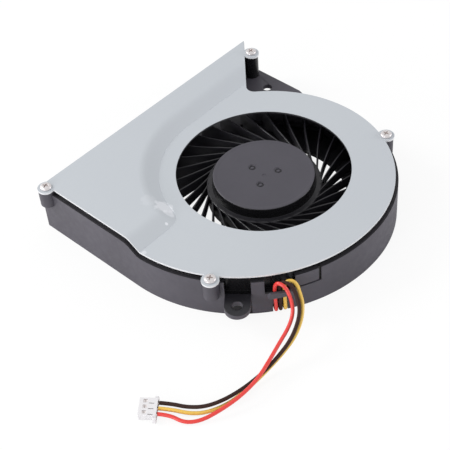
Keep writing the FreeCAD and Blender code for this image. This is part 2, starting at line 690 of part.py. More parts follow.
def make_impeller():
    body = new_body("impeller")
    roof_low = S.hub_top - S.hub_roof
    turned(body, "hub", [
        (0, roof_low + 0.6),
        (S.shaft_radius, roof_low + 0.6),
        (S.shaft_radius, roof_low),
        (S.yoke_radius, roof_low),
        (S.yoke_radius, S.rotor_bottom),
        (S.skirt_radius, S.rotor_bottom),
        (S.skirt_radius, S.skirt_top - 0.4, 0.4, 1),
        (S.skirt_radius - 0.4, S.skirt_top),
        (S.hub_radius, S.skirt_top),
        (S.hub_radius, S.hub_top - 0.8, 0.8, 1),
        (S.hub_radius - 0.8, S.hub_top),
        (0, S.hub_top),
    ])
    doc.recompute()
    plan = sketch_in(body, "blade_plan", lift=S.rotor_bottom)
    inner = S.skirt_radius - 0.5
    half = S.blade_thickness * 0.5
    end = S.blade_start + S.blade_sweep
    root_x = inner * cosine(S.blade_start)
    root_y = inner * sine(S.blade_start)
    tip_x = S.blade_tip * cosine(end)
    tip_y = S.blade_tip * sine(end)
    run_x = tip_x - root_x
    run_y = tip_y - root_y
    run = root(run_x * run_x + run_y * run_y)
    side_x = half * run_y / run
    side_y = half * run_x / run
    outline(plan, [
        (root_x + side_x, root_y - side_y, S.blade_bow, -1),
        (tip_x + side_x, tip_y - side_y),
        (tip_x - side_x, tip_y + side_y, S.blade_bow, 1),
        (root_x - side_x, root_y + side_y),
    ])
    blade = pad(body, "blade", plan, S.blade_top - S.rotor_bottom)
    repeat(body, "blades", blade, plan, S.blade_count)
    doc.recompute()
    above = S.blade_top + 1
    turned(body, "blade_tops", [
        (inner - 0.5, S.skirt_top),
        (S.skirt_radius, S.skirt_top),
        (S.skirt_radius + 2.9, S.blade_top - 1.15),
        (S.skirt_radius + 7.4, S.blade_top - 1),
        (S.blade_tip - 3.6, S.blade_top - 0.2),
        (S.blade_tip + 2, S.blade_top),
        (S.blade_tip + 2, above),
        (inner - 0.5, above),
    ], removes=True)
    below = S.rotor_bottom - 1
    turned(body, "blade_feet", [
        (S.skirt_radius, below),
        (S.blade_tip - 3.6, below),
        (S.blade_tip - 3.6, S.rotor_bottom),
        (S.skirt_radius + 7.4, S.blade_foot),
        (S.skirt_radius, S.blade_foot),
    ], removes=True)
    tips = S.blade_tip - 0.1
    turned(body, "tip_ring", [
        (tips - S.ring_width, S.rotor_bottom),
        (tips, S.rotor_bottom),
        (tips, S.rotor_bottom + S.ring_height),
        (tips - S.ring_width, S.rotor_bottom + S.ring_height),
    ])
    doc.recompute()
    marks = sketch_in(body, "gate_marks_plan", lift=S.hub_top)
    for turn in (89.5, 209.5, 329.5):
        reach = S.gate_radius * cosine(sized(turn))
        aside = S.gate_radius * sine(sized(turn))
        circle_in(marks, reach, aside, 0.8)
    circle_in(marks, 0, 0, 0.4)
    pocket(body, "gate_marks", marks, sized(0.25))
    return body


# Rotor

def make_yoke():
    body = new_body("rotor_yoke")
    top = S.hub_top - S.hub_roof
    low = S.rotor_bottom + 0.2
    wall = S.yoke_radius - S.yoke_sheet
    turned(body, "yoke_form", [
        (S.shaft_radius, top - S.yoke_sheet),
        (wall, top - S.yoke_sheet),
        (wall, low),
        (S.yoke_radius, low),
        (S.yoke_radius, top - 0.5, 0.5, 1),
        (S.yoke_radius - 0.5, top),
        (S.shaft_radius, top),
    ])
    return body


def make_shaft():
    body = new_body("rotor_shaft")
    neck = S.shaft_radius - 0.25
    groove_low = S.shaft_foot + 0.3
    groove_top = groove_low + 0.45
    turned(body, "shaft_form", [
        (0, S.shaft_foot, 2.0, 1),
        (neck, S.shaft_foot + 0.15),
        (neck, groove_top),
        (S.shaft_radius, groove_top),
        (S.shaft_radius, S.hub_top - S.hub_roof + 0.6),
        (0, S.hub_top - S.hub_roof + 0.6),
    ])
    return body


def make_magnet():
    outer = S.yoke_radius - S.yoke_sheet
    return ring("rotor_magnet", outer, outer - S.magnet_ring, S.magnet_height, S.rotor_bottom + 0.4)


# Bearing

def make_bearing_parts():
    bearing_foot = S.tube_foot + 1.6
    bearing_height = S.tube_top - 0.6 - bearing_foot
    tube = ring("bearing_tube", S.tube_radius, S.bearing_radius, S.tube_top - S.tube_foot, S.tube_foot)
    bearing = ring("sleeve_bearing", S.bearing_radius, S.shaft_radius + S.shaft_play, bearing_height,
                   bearing_foot)
    thrust = cylinder("thrust_plate", S.bearing_radius, S.shaft_foot - 0.02 - S.tube_foot, z=S.tube_foot)
    clip = ring("shaft_retainer", S.bearing_radius, S.shaft_radius - 0.18, sized(0.25), S.shaft_foot + 0.4)
    seal = ring("oil_seal", S.bearing_radius, S.shaft_radius + 0.12, sized(0.3),
                bearing_foot + bearing_height)
    return [tube, bearing, thrust, clip, seal]


# Stator

def stator_layer(name, z, height, arm, back, tip):
    """Ring, arms and pole shoes of the core or of an insulator that covers it."""
    body = new_body(name)
    hub_plan = sketch_in(body, f"{name}_hub_plan", lift=z)
    circle_in(hub_plan, 0, 0, back)
    circle_in(hub_plan, 0, 0, S.tube_radius)
    pad(body, f"{name}_hub", hub_plan, height)
    doc.recompute()
    pole_plan = sketch_in(body, f"{name}_pole_plan", lift=z)
    half = arm * 0.5
    inner = tip - S.shoe_width
    wing = S.shoe_angle * 0.5
    root_x = root(back * back - half * half) - 0.2
    neck_x = root(inner * inner - half * half)
    outline(pole_plan, [
        (root_x, -half),
        (neck_x, -half, inner, -1),
        (inner * cosine(wing), -inner * sine(wing)),
        (tip * cosine(wing), -tip * sine(wing), tip, 1),
        (tip * cosine(wing), tip * sine(wing)),
        (inner * cosine(wing), inner * sine(wing), inner, -1),
        (neck_x, half),
        (root_x, half),
    ])
    pole = pad(body, f"{name}_pole", pole_plan, height)
    repeat(body, f"{name}_poles", pole, pole_plan, S.pole_count)
    return body


def make_coils():
    coils = []
    cover = S.insulator
    inner_width = S.pole_width + cover * 2
    inner_height = S.core_height + cover * 2
    start = S.tube_radius + 2.3
    length = S.core_radius - S.shoe_width - cover - start - 0.3
    for index in range(int(S.pole_count.value)):
        angle = sized(index) * 360 / S.pole_count
        width = inner_width + S.coil_wall * 2
        height = inner_height + S.coil_wall * 1.4
        low = S.core_bottom - cover - S.coil_wall * 0.7
        whole = box(f"coil_{index}_outside", length, width, height,
                    start * cosine(angle) + width * 0.5 * sine(angle),
                    start * sine(angle) - width * 0.5 * cosine(angle), low, angle)
        rounded = doc.addObject("Part::Fillet", f"coil_{index}_rounded")
        rounded.Base = whole
        doc.recompute()
        rounded.Edges = [(number, 0.8, 0.8) for number in long_edges(whole, angle.value)]
        room = box(f"coil_{index}_room", length + 2, inner_width, inner_height,
                   (start - 1) * cosine(angle) + inner_width * 0.5 * sine(angle),
                   (start - 1) * sine(angle) - inner_width * 0.5 * cosine(angle),
                   S.core_bottom - cover, angle)
        coils.append(cut(f"coil_{index}", rounded, [room]))
    return group("stator_coils", coils)


def long_edges(piece, angle):
    """Numbers of the edges that run outwards from the axis."""
    outward = Vector(math.cos(math.radians(angle)), math.sin(math.radians(angle)), 0)
    found = []
    for number, edge in enumerate(piece.Shape.Edges, 1):
        along = (edge.Vertexes[1].Point - edge.Vertexes[0].Point).normalize()
        if abs(along.dot(outward)) > 0.99:
            found.append(number)
    return found


# Motor board

def make_board():
    disc = cylinder("board_disc", S.board_radius, S.board_sheet, z=S.board_seat)
    tongue_width = S.channel_width + S.rail_width
    spot = at_wall(-S.channel_run - 4, -tongue_width * 0.5, S.lead_angle)
    tongue = box("board_tongue", sized(3.9), tongue_width, S.board_sheet, z=S.board_seat, **spot)
    bore = cylinder("board_bore", S.tube_radius, S.board_sheet + 2, z=S.board_seat - 1)
    return cut("motor_board", fuse("board_blank", [disc, tongue]), [bore])


def make_board_parts():
    top = S.board_seat + S.board_sheet
    chip = box("driver_chip", sized(2.9), sized(1.6), sized(0.9), 5.6, -5.6, top, 20)
    small = []
    for index, (x, y, turn) in enumerate(((-6.5, 5.2, 40), (-4.6, 6.9, 40), (5.4, 6.1, -30), (-8.3, -1.0, 90))):
        small.append(box(f"board_part_{index}", sized(1.0), sized(0.5), sized(0.4), x, y, top, turn))
    return [chip, group("board_parts", small)]


def make_solder_joints():
    joints = []
    low = S.channel_depth * 0.5 - S.lead_radius
    for index, aside in enumerate((-1.15, -0.05, 1.05)):
        spot = at_wall(-S.channel_run - 1.3, sized(aside) - 0.42, S.lead_angle)
        joints.append(box(f"solder_{index}", sized(1.3), sized(0.84), S.board_seat - low, z=low, **spot))
    return group("solder_joints", joints)


# Wires: a list of points for each, straight runs joined by tangent arcs

RED_ROUTE = (
    (-12.53, -7.96, 0.6), (-16.46, -13.51, 0.6), (-21.52, -20.1, 0.6), (-24.54, -24.33, 0.6),
    (-26.15, -26.52, 0.6), (-26.19, -26.49, 3.3), (-26.34, -26.43, 7.2), (-26.3, -26.46, 9.6),
    (-26.12, -27.14, 11.0), (-25.88, -28.68, 11.1), (-25.63, -29.86, 9.7), (-26.7, -32.0, 8.4),
    (-28.5, -33.8, 7.2), (-31.6, -35.0, 6.0), (-35.6, -35.7, 5.0), (-40.3, -36.8, 4.2),
    (-45.4, -37.8, 3.4), (-50.8, -37.6, 2.6), (-55.6, -36.3, 1.6), (-60.2, -34.4, 0.6),
    (-63.0, -31.8, 0.5), (-63.82, -28.3, 1.1), (-65.43, -26.01, 1.15),
)
BLACK_ROUTE = (
    (-11.65, -8.61, 0.6), (-15.58, -14.16, 0.6), (-20.63, -20.75, 0.6), (-23.65, -24.98, 0.6),
    (-25.27, -27.17, 0.6), (-25.31, -27.14, 3.3), (-25.41, -27.11, 7.2), (-25.37, -27.14, 9.6),
    (-25.09, -27.77, 10.95), (-24.66, -29.21, 11.0), (-24.21, -30.29, 9.9), (-25.1, -32.1, 9.0),
    (-26.8, -34.4, 8.15), (-29.5, -36.1, 6.95), (-33.3, -37.1, 5.0), (-37.5, -37.2, 3.6),
    (-42.2, -37.1, 2.6), (-47.6, -36.5, 2.0), (-53.0, -35.2, 1.7), (-57.3, -32.9, 1.3),
    (-59.8, -29.6, 0.9), (-61.37, -26.58, 1.1), (-62.97, -24.29, 1.15),
)
YELLOW_ROUTE = (
    (-10.76, -9.27, 0.6), (-14.69, -14.82, 0.6), (-19.75, -21.4, 0.6), (-22.77, -25.64, 0.6),
    (-24.38, -27.82, 0.6), (-24.42, -27.79, 3.3), (-24.53, -27.77, 7.2), (-24.49, -27.8, 9.5),
    (-24.12, -28.31, 10.7), (-23.22, -29.28, 10.8), (-22.79, -30.22, 9.7), (-23.6, -31.6, 9.0),
    (-25.02, -33.81, 7.8), (-27.82, -35.81, 6.4), (-31.6, -37.0, 4.6), (-35.6, -37.0, 2.9),
    (-40.7, -36.7, 1.4), (-46.6, -36.4, 0.6), (-52.7, -35.9, 0.46), (-57.4, -34.0, 0.46),
    (-60.3, -31.4, 0.55), (-62.59, -27.44, 1.1), (-64.2, -25.15, 1.15),
)
ARC_SHARE = 0.45


def wire_path(points):
    """Runs through the points with an arc at each, as large as its two runs allow."""
    spots = [Vector(*point) for point in points]
    edges = []
    radii = []
    last = spots[0]
    for before, corner, after in zip(spots, spots[1:], spots[2:]):
        inward = before - corner
        outward = after - corner
        setback = ARC_SHARE * min(inward.Length, outward.Length)
        inward.normalize()
        outward.normalize()
        half_turn = (math.pi - inward.getAngle(outward)) / 2
        radius = setback / math.tan(half_turn)
        start = corner + inward * setback
        end = corner + outward * setback
        middle_line = (inward + outward).normalize()
        middle = corner + middle_line * (radius / math.cos(half_turn) - radius)
        edges.append(Part.LineSegment(last, start).toShape())
        edges.append(Part.Arc(start, middle, end).toShape())
        radii.append(radius)
        last = end
    edges.append(Part.LineSegment(last, spots[-1]).toShape())
    return Part.Wire(edges), radii


def make_wire(name, points):
    path, radii = wire_path(points)
    start = Vector(*points[0])
    heading = Vector(*points[1]) - start
    radius = S.lead_radius.value
    profile = Part.Wire([Part.makeCircle(radius, start, heading)])
    sweep = Part.BRepOffsetAPI.MakePipeShell(path)
    sweep.setFrenetMode(False)
    sweep.add(profile)
    sweep.build()
    sweep.makeSolid()
    piece = doc.addObject("Part::Feature", name)
    piece.Shape = sweep.shape()
    expected = math.pi * radius ** 2 * path.Length
    print(f"{name}: length {path.Length:.1f}, volume {piece.Shape.Volume:.2f} of {expected:.2f}, radii",
          " ".join(f"{value:.1f}" for value in radii))
    return piece


# Connector

def on_plug(forward, aside, turned_by=0):
    """Place of a corner that lies forward from the wire side and aside of the middle."""
    x = S.plug_x + forward * cosine(S.plug_angle) - aside * sine(S.plug_angle)
    y = S.plug_y + forward * sine(S.plug_angle) + aside * cosine(S.plug_angle)
    return {"x": x, "y": y, "turn": S.plug_angle + turned_by}


def make_connector():
    half = S.plug_width * 0.5
    body = box("plug_body", S.plug_length, S.plug_width, S.plug_height, **on_plug(sized(0), -half))
    flange = box("plug_flange", sized(0.8), S.plug_width + S.plug_ear * 2, S.plug_height * 0.7,
                 **on_plug(sized(0), -half - S.plug_ear))
    key = box("plug_key", S.plug_length - 1.2, S.plug_width - 1.6, sized(0.3), z=S.plug_height,
              **on_plug(sized(0.4), 0.8 - half))
    holes = []
    for index in (-1, 0, 1):
        side = S.plug_pitch * index - S.plug_cavity * 0.5
        holes.append(box(f"plug_cavity_{index + 1}", S.plug_length + 2, S.plug_cavity, S.plug_cavity, z=0.6,
                         **on_plug(sized(-1), side)))
        holes.append(box(f"plug_window_{index + 1}", sized(1.1), S.plug_cavity * 0.8, S.plug_height,
                         z=1.2, **on_plug(sized(2.6), side + 0.1)))
    return cut("connector_housing", fuse("plug_blank", [body, flange, key]), holes)


def make_terminals():
    terminals = []
    for index in (-1, 0, 1):
        side = S.plug_pitch * index
        shell = box(f"terminal_{index + 1}_shell", sized(3.9), sized(0.96), sized(0.96), z=0.67,
                    **on_plug(sized(0), side - 0.48))
        mouth = box(f"terminal_{index + 1}_mouth", sized(2.6), sized(0.56), sized(0.56), z=0.87,
                    **on_plug(sized(1.4), side - 0.28))
        terminals.append(cut(f"terminal_{index + 1}", shell, [mouth]))
    return group("crimp_terminals", terminals)


# The whole blower

def build():
    insulator_tip = S.core_radius - 0.2
    insulator_back = S.tube_radius + 2.0
    insulator_arm = S.pole_width + S.insulator * 2
    pieces = [
        *make_base(),
        make_cover(),
        make_screws(),
        make_impeller(),
        make_yoke(),
        make_magnet(),
        make_shaft(),
        *make_bearing_parts(),
        stator_layer("stator_core", S.core_bottom, S.core_height, S.pole_width, S.tube_radius + 1.8,
                     S.core_radius),
        stator_layer("insulator_upper", S.core_bottom + S.core_height, S.insulator, insulator_arm,
                     insulator_back, insulator_tip),
        stator_layer("insulator_lower", S.core_bottom - S.insulator, S.insulator, insulator_arm,
                     insulator_back, insulator_tip),
        make_coils(),
        make_board(),
        *make_board_parts(),
        make_solder_joints(),
        ring("preload_ring", S.board_radius - 1.4, S.board_radius - 3.9, sized(0.3), S.floor_thickness),
        make_wire("wire_red", RED_ROUTE),
        make_wire("wire_black", BLACK_ROUTE),
        make_wire("wire_yellow", YELLOW_ROUTE),
        make_connector(),
        make_terminals(),
    ]
    doc.recompute()
    return pieces


def check(pieces):
    """Stop if any object failed or any piece is not a valid solid."""
    for item in doc.Objects:
        if "Invalid" in item.State or "Error" in item.State:
            raise RuntimeError(f"{item.Name} did not compute: {item.State}")
    for piece in pieces:
        shape = piece.Shape
        if shape.isNull() or not shape.isValid() or not shape.Solids:
            raise RuntimeError(f"{piece.Name} is not a valid solid")
        print(f"{piece.Name}: {len(shape.Solids)} solid(s), {len(shape.Faces)} faces, {shape.Volume:.1f} mm3")


parts = build()
check(parts)
for part in parts:
    part.Label = part.Name
    part.Shape.exportStep(f"parts/{part.Name}.step")
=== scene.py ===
"""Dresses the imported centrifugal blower: moulded volute, sheet metal cover, impeller and leads."""

from __future__ import annotations

import logging
import math
from collections.abc import Callable, Sequence
from dataclasses import dataclass
from enum import Enum
from functools import cache

import bmesh
import bpy
from mathutils import Matrix, Vector
from mathutils.geometry import delaunay_2d_cdt

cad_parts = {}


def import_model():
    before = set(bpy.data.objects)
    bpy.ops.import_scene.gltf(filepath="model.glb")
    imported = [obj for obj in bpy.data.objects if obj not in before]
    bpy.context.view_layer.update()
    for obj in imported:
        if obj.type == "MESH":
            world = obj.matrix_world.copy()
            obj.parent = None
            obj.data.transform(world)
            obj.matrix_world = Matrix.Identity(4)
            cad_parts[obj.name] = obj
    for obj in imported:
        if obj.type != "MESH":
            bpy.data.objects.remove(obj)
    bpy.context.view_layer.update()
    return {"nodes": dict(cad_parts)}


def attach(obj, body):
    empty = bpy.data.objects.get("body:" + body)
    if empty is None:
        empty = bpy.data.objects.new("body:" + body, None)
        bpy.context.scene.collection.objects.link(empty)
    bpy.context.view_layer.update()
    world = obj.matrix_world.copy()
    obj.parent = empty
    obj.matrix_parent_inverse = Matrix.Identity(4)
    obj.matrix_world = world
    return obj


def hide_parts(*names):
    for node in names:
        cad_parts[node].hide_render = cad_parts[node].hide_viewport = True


LOG = logging.getLogger("blower")
MM = 0.001
HOUSING = "housing"
ROTOR = "rotor"

CREASE = 32.0

Piece = bpy.types.Object
Mesh = bmesh.types.BMesh
Socket = bpy.types.NodeSocket
Plan = tuple[float, float]
Point = tuple[float, float, float]
Colour = tuple[float, float, float]


# Node trees


class Graph:
    """Builder of a node tree: each call adds a node and fills its inputs."""

    def __init__(self, tree: bpy.types.NodeTree) -> None:
        """Work on a tree."""
        self.tree = tree

    def fill(self, node: bpy.types.Node, inputs: dict[str | int, object]) -> bpy.types.Node:
        """Link or set a node's inputs.

        Args:
            node: the node.
            inputs: source socket or plain value of each input, by name or number.

        Returns:
            The same node.
        """
        for key, value in inputs.items():
            if isinstance(value, Socket):
                self.tree.links.new(value, node.inputs[key])
            else:
                node.inputs[key].default_value = value
        return node

    def node(self, kind: str, inputs: dict[str | int, object] | None = None,
             **settings: object) -> bpy.types.Node:
        """Add a node.

        Args:
            kind: the node's type.
            inputs: source or value of each input that isn't left as it is.
            settings: the node's properties.

        Returns:
            The node.
        """
        made = self.tree.nodes.new(kind)
        for name, value in settings.items():
            setattr(made, name, value)
        return self.fill(made, inputs or {})

    def math(self, operation: str, *terms: object, clamp: bool = False) -> Socket:
        """Result of a math node."""
        return self.node("ShaderNodeMath", dict(enumerate(terms)), operation=operation,
                         use_clamp=clamp).outputs[0]

    def mapped(self, value: Socket, start: float, end: float, low: float = 0.0,
               high: float = 1.0) -> Socket:
        """Value moved from the range start to end into the range low to high."""
        return self.node("ShaderNodeMapRange", {"Value": value, "From Min": start, "From Max": end,
                                                "To Min": low, "To Max": high}).outputs[0]

    def mixed(self, share: Socket, first: object, second: object) -> Socket:
        """Mix of two colours."""
        return self.node("ShaderNodeMix", {0: share, 6: first, 7: second}, data_type="RGBA").outputs[2]

    def noise(self, where: Socket, scale: object, detail: float) -> Socket:
        """Noise at a place."""
        return self.node("ShaderNodeTexNoise", {"Vector": where, "Scale": scale,
                                                "Detail": detail}).outputs[0]

    def effect(self, group: bpy.types.ShaderNodeTree,
               inputs: dict[str, object]) -> bpy.types.NodeOutputs:
        """Results of a shader node group."""
        return self.node("ShaderNodeGroup", inputs, node_tree=group).outputs


def shader_group(name: str, inputs: dict[str, str],
                 outputs: dict[str, str]) -> tuple[Graph, bpy.types.NodeOutputs]:
    """Start a shader node group.

    Args:
        name: the group's name.
        inputs: socket type of each input.
        outputs: socket type of each output.

    Returns:
        The group's graph, and its inputs as sources.
    """
    tree = bpy.data.node_groups.new(name, "ShaderNodeTree")
    for way, sockets in (("INPUT", inputs), ("OUTPUT", outputs)):
        for label, kind in sockets.items():
            tree.interface.new_socket(label, in_out=way, socket_type=f"NodeSocket{kind}")
    graph = Graph(tree)
    return graph, graph.node("NodeGroupInput").outputs


@cache
def texture_grain() -> bpy.types.ShaderNodeTree:
    """Fine moulded texture: two sizes of noise as a height and a mask.

    Returns:
        The shader node group.
    """
    coarse_size, coarse_share = 0.12, 0.35
    graph, given = shader_group("texture_grain", {"Vector": "Vector", "Size": "Float"},
                                {"Height": "Float", "Mask": "Float"})
    fine = graph.noise(given["Vector"], given["Size"], 2.0)
    coarse = graph.noise(given["Vector"], graph.math("MULTIPLY", given["Size"], coarse_size), 3.0)
    height = graph.node("ShaderNodeMix", {0: coarse_share, 2: fine, 3: coarse}).outputs[0]
    graph.node("NodeGroupOutput", {"Height": height, "Mask": coarse})
    return graph.tree


@cache
def tone_drift() -> bpy.types.ShaderNodeTree:
    """Slow change between a colour and a second one, as handling and dust leave it.

    Returns:
        The shader node group.
    """
    graph, given = shader_group("tone_drift", {"Vector": "Vector", "Colour": "Color", "Second": "Color",
                                               "Scale": "Float", "Amount": "Float"}, {"Colour": "Color"})
    cloud = graph.noise(given["Vector"], given["Scale"], 4.0)
    share = graph.math("MULTIPLY", graph.mapped(cloud, 0.35, 0.65), given["Amount"])
    graph.node("NodeGroupOutput", {"Colour": graph.mixed(share, given["Colour"], given["Second"])})
    return graph.tree


@cache
def painted_highlight_spot() -> bpy.types.ShaderNodeTree:
    """Ragged pale spot of painted highlight round a place.

    Returns:
        The shader node group.
    """
    graph, given = shader_group("painted_highlight_spot", {"Vector": "Vector", "Place": "Vector", "Radius": "Float",
                                               "Strength": "Float"}, {"Mask": "Float"})
    plan = graph.node("ShaderNodeVectorMath", {0: given["Vector"], 1: (1.0, 1.0, 0.0)},
                      operation="MULTIPLY").outputs["Vector"]
    away = graph.node("ShaderNodeVectorMath", {0: plan, 1: given["Place"]},
                      operation="DISTANCE").outputs["Value"]
    ragged = graph.noise(given["Vector"], 900.0, 3.0)
    total = graph.math("ADD", graph.math("DIVIDE", away, given["Radius"]), ragged)
    mask = graph.math("MULTIPLY", graph.mapped(total, 1.45, 1.15), given["Strength"])
    graph.node("NodeGroupOutput", {"Mask": mask})
    return graph.tree


# Finishes


@dataclass(frozen=True)
class Finish:
    """A surface: its colour, how it drifts, and the fine texture in its gloss and relief."""

    name: str
    colour: Colour
    second: Colour
    roughness: float
    drift: float = 0.5
    drift_scale: float = 70.0
    roughness_spread: float = 0.08
    grain_size: float = 5200.0
    grain_height: float = 0.000012
    stretch: tuple[float, float, float] = (1.0, 1.0, 1.0)
    metallic: float = 0.0
    specular: float = 0.5
    coat: float = 0.0
    coat_roughness: float = 0.2
    edge_colour_and_highlight: Colour | None = None
    # pale spots of painted highlight: place, radius and strength of each
    painted_highlights: tuple[tuple[Plan, float, float], ...] = ()
    painted_highlight_colour: Colour = (0.82, 0.83, 0.87)

    def material(self) -> bpy.types.Material:
        """Material of this finish, made at its first use."""
        known = bpy.data.materials.get(self.name)
        return known if known else self._build()

    def _build(self) -> bpy.types.Material:
        """Make the material's nodes.

        Returns:
            The material.
        """
        made = bpy.data.materials.new(self.name)
        made.use_nodes = True
        graph = Graph(made.node_tree)
        where = graph.node("ShaderNodeTexCoord").outputs["Object"]
        along = graph.node("ShaderNodeMapping", {"Vector": where, "Scale": self.stretch})
        grain = graph.effect(texture_grain(), {"Vector": along.outputs["Vector"],
                                               "Size": self.grain_size})
        colour = graph.effect(tone_drift(), {
            "Vector": where, "Colour": (*self.colour, 1.0), "Second": (*self.second, 1.0),
            "Scale": self.drift_scale, "Amount": self.drift})["Colour"]
        if self.edge_colour_and_highlight:
            colour = self._with_sides(graph, colour)
        # painted highlights: pale spots where a curved bend of the sheet catches the light
        for place, radius, strength in self.painted_highlights:
            mask = graph.effect(painted_highlight_spot(), {
                "Vector": where, "Place": (place[0] * MM, place[1] * MM, 0.0), "Radius": radius * MM,
                "Strength": strength})["Mask"]
            colour = graph.mixed(mask, colour, (*self.painted_highlight_colour, 1.0))
        gloss = graph.mapped(grain["Mask"], 0.3, 0.7, self.roughness - self.roughness_spread,
                             self.roughness + self.roughness_spread)
        bump = graph.node("ShaderNodeBump", {"Strength": 1.0, "Distance": self.grain_height,
                                             "Height": grain["Height"]})
        graph.fill(made.node_tree.nodes["Principled BSDF"], {
            "Base Color": colour, "Roughness": gloss, "Normal": bump.outputs["Normal"],
            "Metallic": self.metallic, "Specular IOR Level": self.specular, "Coat Weight": self.coat,
            "Coat Roughness": self.coat_roughness})
        return made

    def _with_sides(self, graph: Graph, colour: Socket) -> Socket:
        """Give upright faces, such as a sheet's cut edge, a colour of their own: the bare metal with a
        painted highlight.

        Args:
            graph: the material's graph.
            colour: the colour of the other faces.

        Returns:
            The mixed colour.
        """
        normal = graph.node("ShaderNodeNewGeometry").outputs["Normal"]
        rise = graph.node("ShaderNodeSeparateXYZ", {0: normal}).outputs["Z"]
        upright = graph.mapped(graph.math("ABSOLUTE", rise), 0.35, 0.15)
        return graph.mixed(upright, colour, (*self.edge_colour_and_highlight, 1.0))


BLACK_MOULDING = Finish("black_moulding", (0.0610, 0.0570, 0.0705), (0.0800, 0.0750, 0.0930), 0.52,
                        specular=0.45, roughness_spread=0.07)
# darker copy of the black moulding: painted shade on the floor inside the housing and on the wall's
# ledge under the cover
SHADED_PLATE_MOULDING = Finish("plate_moulding_painted_shade", (0.016, 0.015, 0.018), (0.022, 0.021, 0.026), 0.52,
                        specular=0.35, roughness_spread=0.07)
# near-black glossy moulding, also used as painted shade under the cover, in recesses and on the rear
# boss
GLOSS_BLACK_AND_SHADE = Finish("gloss_black_and_painted_shade", (0.007, 0.007, 0.008), (0.011, 0.010, 0.012), 0.26,
                         specular=0.32, roughness_spread=0.08, grain_height=0.000006)
IMPELLER_FACE = Finish("impeller_face", (0.056, 0.053, 0.066), (0.068, 0.064, 0.079), 0.50,
                       specular=0.45, roughness_spread=0.05)
IMPELLER_MOULDING = Finish("impeller_moulding", (0.013, 0.0125, 0.016), (0.019, 0.018, 0.023), 0.34,
                           specular=0.50, roughness_spread=0.06, grain_height=0.000006)
COVER_SHEET = Finish("cover_sheet_metal", (0.505, 0.535, 0.566), (0.483, 0.511, 0.547), 0.52,
                     metallic=0.22, drift_scale=25.0, grain_size=1500.0, grain_height=0.000003,
                     # cut edges paler: bare sheared metal, brightened further as painted highlight
                     stretch=(1.0, 14.0, 1.0), roughness_spread=0.05, edge_colour_and_highlight=(0.74, 0.75, 0.77),
                     # painted highlights on the step's curved corner and along its foot
                     painted_highlights=(((-27.8, 12.4), 2.4, 0.12), ((-26.4, 8.9), 2.6, 0.5),
                             ((-27.0, 6.6), 1.5, 0.4), ((-29.8, 4.6), 0.5, 0.7),
                             ((-39.5, 2.6), 0.7, 0.4)))
# painted shade on the inlet's cut edge, which faces the dark inside of the inlet
INLET_EDGE_SHADE = Finish("inlet_edge_painted_shade", (0.045, 0.045, 0.050), (0.07, 0.07, 0.075), 0.5, metallic=0.3)
NICKEL = Finish("nickel_plate", (0.72, 0.69, 0.69), (0.62, 0.58, 0.58), 0.34, metallic=0.6,
                grain_height=0.000006, grain_size=3000.0)
# painted shade in the screws' cross recess, darker and browner than the nickel
RECESS = Finish("cross_recess_painted_shade", (0.37, 0.30, 0.28), (0.45, 0.37, 0.35), 0.5, metallic=0.3)
RED_LEAD = Finish("red_lead_skin", (0.72, 0.050, 0.042), (0.65, 0.040, 0.033), 0.38, coat=0.1,
                  grain_height=0.000003)
BLACK_LEAD = Finish("black_lead_skin", (0.034, 0.0165, 0.0135), (0.043, 0.022, 0.018), 0.5,
                    specular=0.15, grain_height=0.000003)
YELLOW_LEAD = Finish("yellow_lead_skin", (0.77, 0.50, 0.088), (0.70, 0.44, 0.074), 0.38, coat=0.1,
                     grain_height=0.000003)
WHITE_NYLON = Finish("white_nylon", (0.71, 0.70, 0.715), (0.67, 0.66, 0.67), 0.45,
                     grain_height=0.000004)
TIN_PLATE = Finish("tinned_contacts", (0.78, 0.73, 0.72), (0.68, 0.63, 0.62), 0.4, metallic=0.25)
YOKE_STEEL = Finish("yoke_steel", (0.38, 0.38, 0.39), (0.32, 0.32, 0.33), 0.38, metallic=0.9)
MAGNET = Finish("bonded_magnet", (0.055, 0.050, 0.050), (0.075, 0.068, 0.066), 0.62)
GROUND_STEEL = Finish("ground_steel", (0.55, 0.55, 0.56), (0.50, 0.50, 0.51), 0.22, metallic=1.0,
                      stretch=(1.0, 1.0, 9.0))
BRASS = Finish("turned_brass", (0.62, 0.44, 0.18), (0.55, 0.37, 0.14), 0.30, metallic=1.0)
SINTERED = Finish("sintered_bronze", (0.36, 0.24, 0.12), (0.30, 0.19, 0.10), 0.55, metallic=0.8,
                  grain_height=0.00003)
CLEAR_NYLON = Finish("natural_nylon", (0.62, 0.61, 0.56), (0.56, 0.55, 0.50), 0.45)
LAMINATIONS = Finish("laminated_core", (0.30, 0.30, 0.31), (0.24, 0.24, 0.25), 0.42, metallic=0.85,
                     stretch=(1.0, 1.0, 12.0))
INSULATOR = Finish("insulator_moulding", (0.50, 0.47, 0.40), (0.44, 0.41, 0.35), 0.5)
COPPER = Finish("enamelled_copper", (0.62, 0.22, 0.075), (0.52, 0.17, 0.055), 0.32, metallic=0.85,
                grain_size=2600.0, grain_height=0.00005, stretch=(1.0, 1.0, 6.0))
SOLDER_RESIST = Finish("solder_resist", (0.025, 0.16, 0.060), (0.020, 0.12, 0.045), 0.34, coat=0.3)
CHIP_BODY = Finish("chip_body", (0.022, 0.022, 0.023), (0.030, 0.030, 0.031), 0.5)
CERAMIC = Finish("fired_ceramic", (0.36, 0.27, 0.18), (0.30, 0.22, 0.15), 0.45)
SOLDER = Finish("solder_fillets", (0.58, 0.58, 0.60), (0.48, 0.48, 0.50), 0.28, metallic=1.0,
                grain_height=0.00003, grain_size=1800.0)


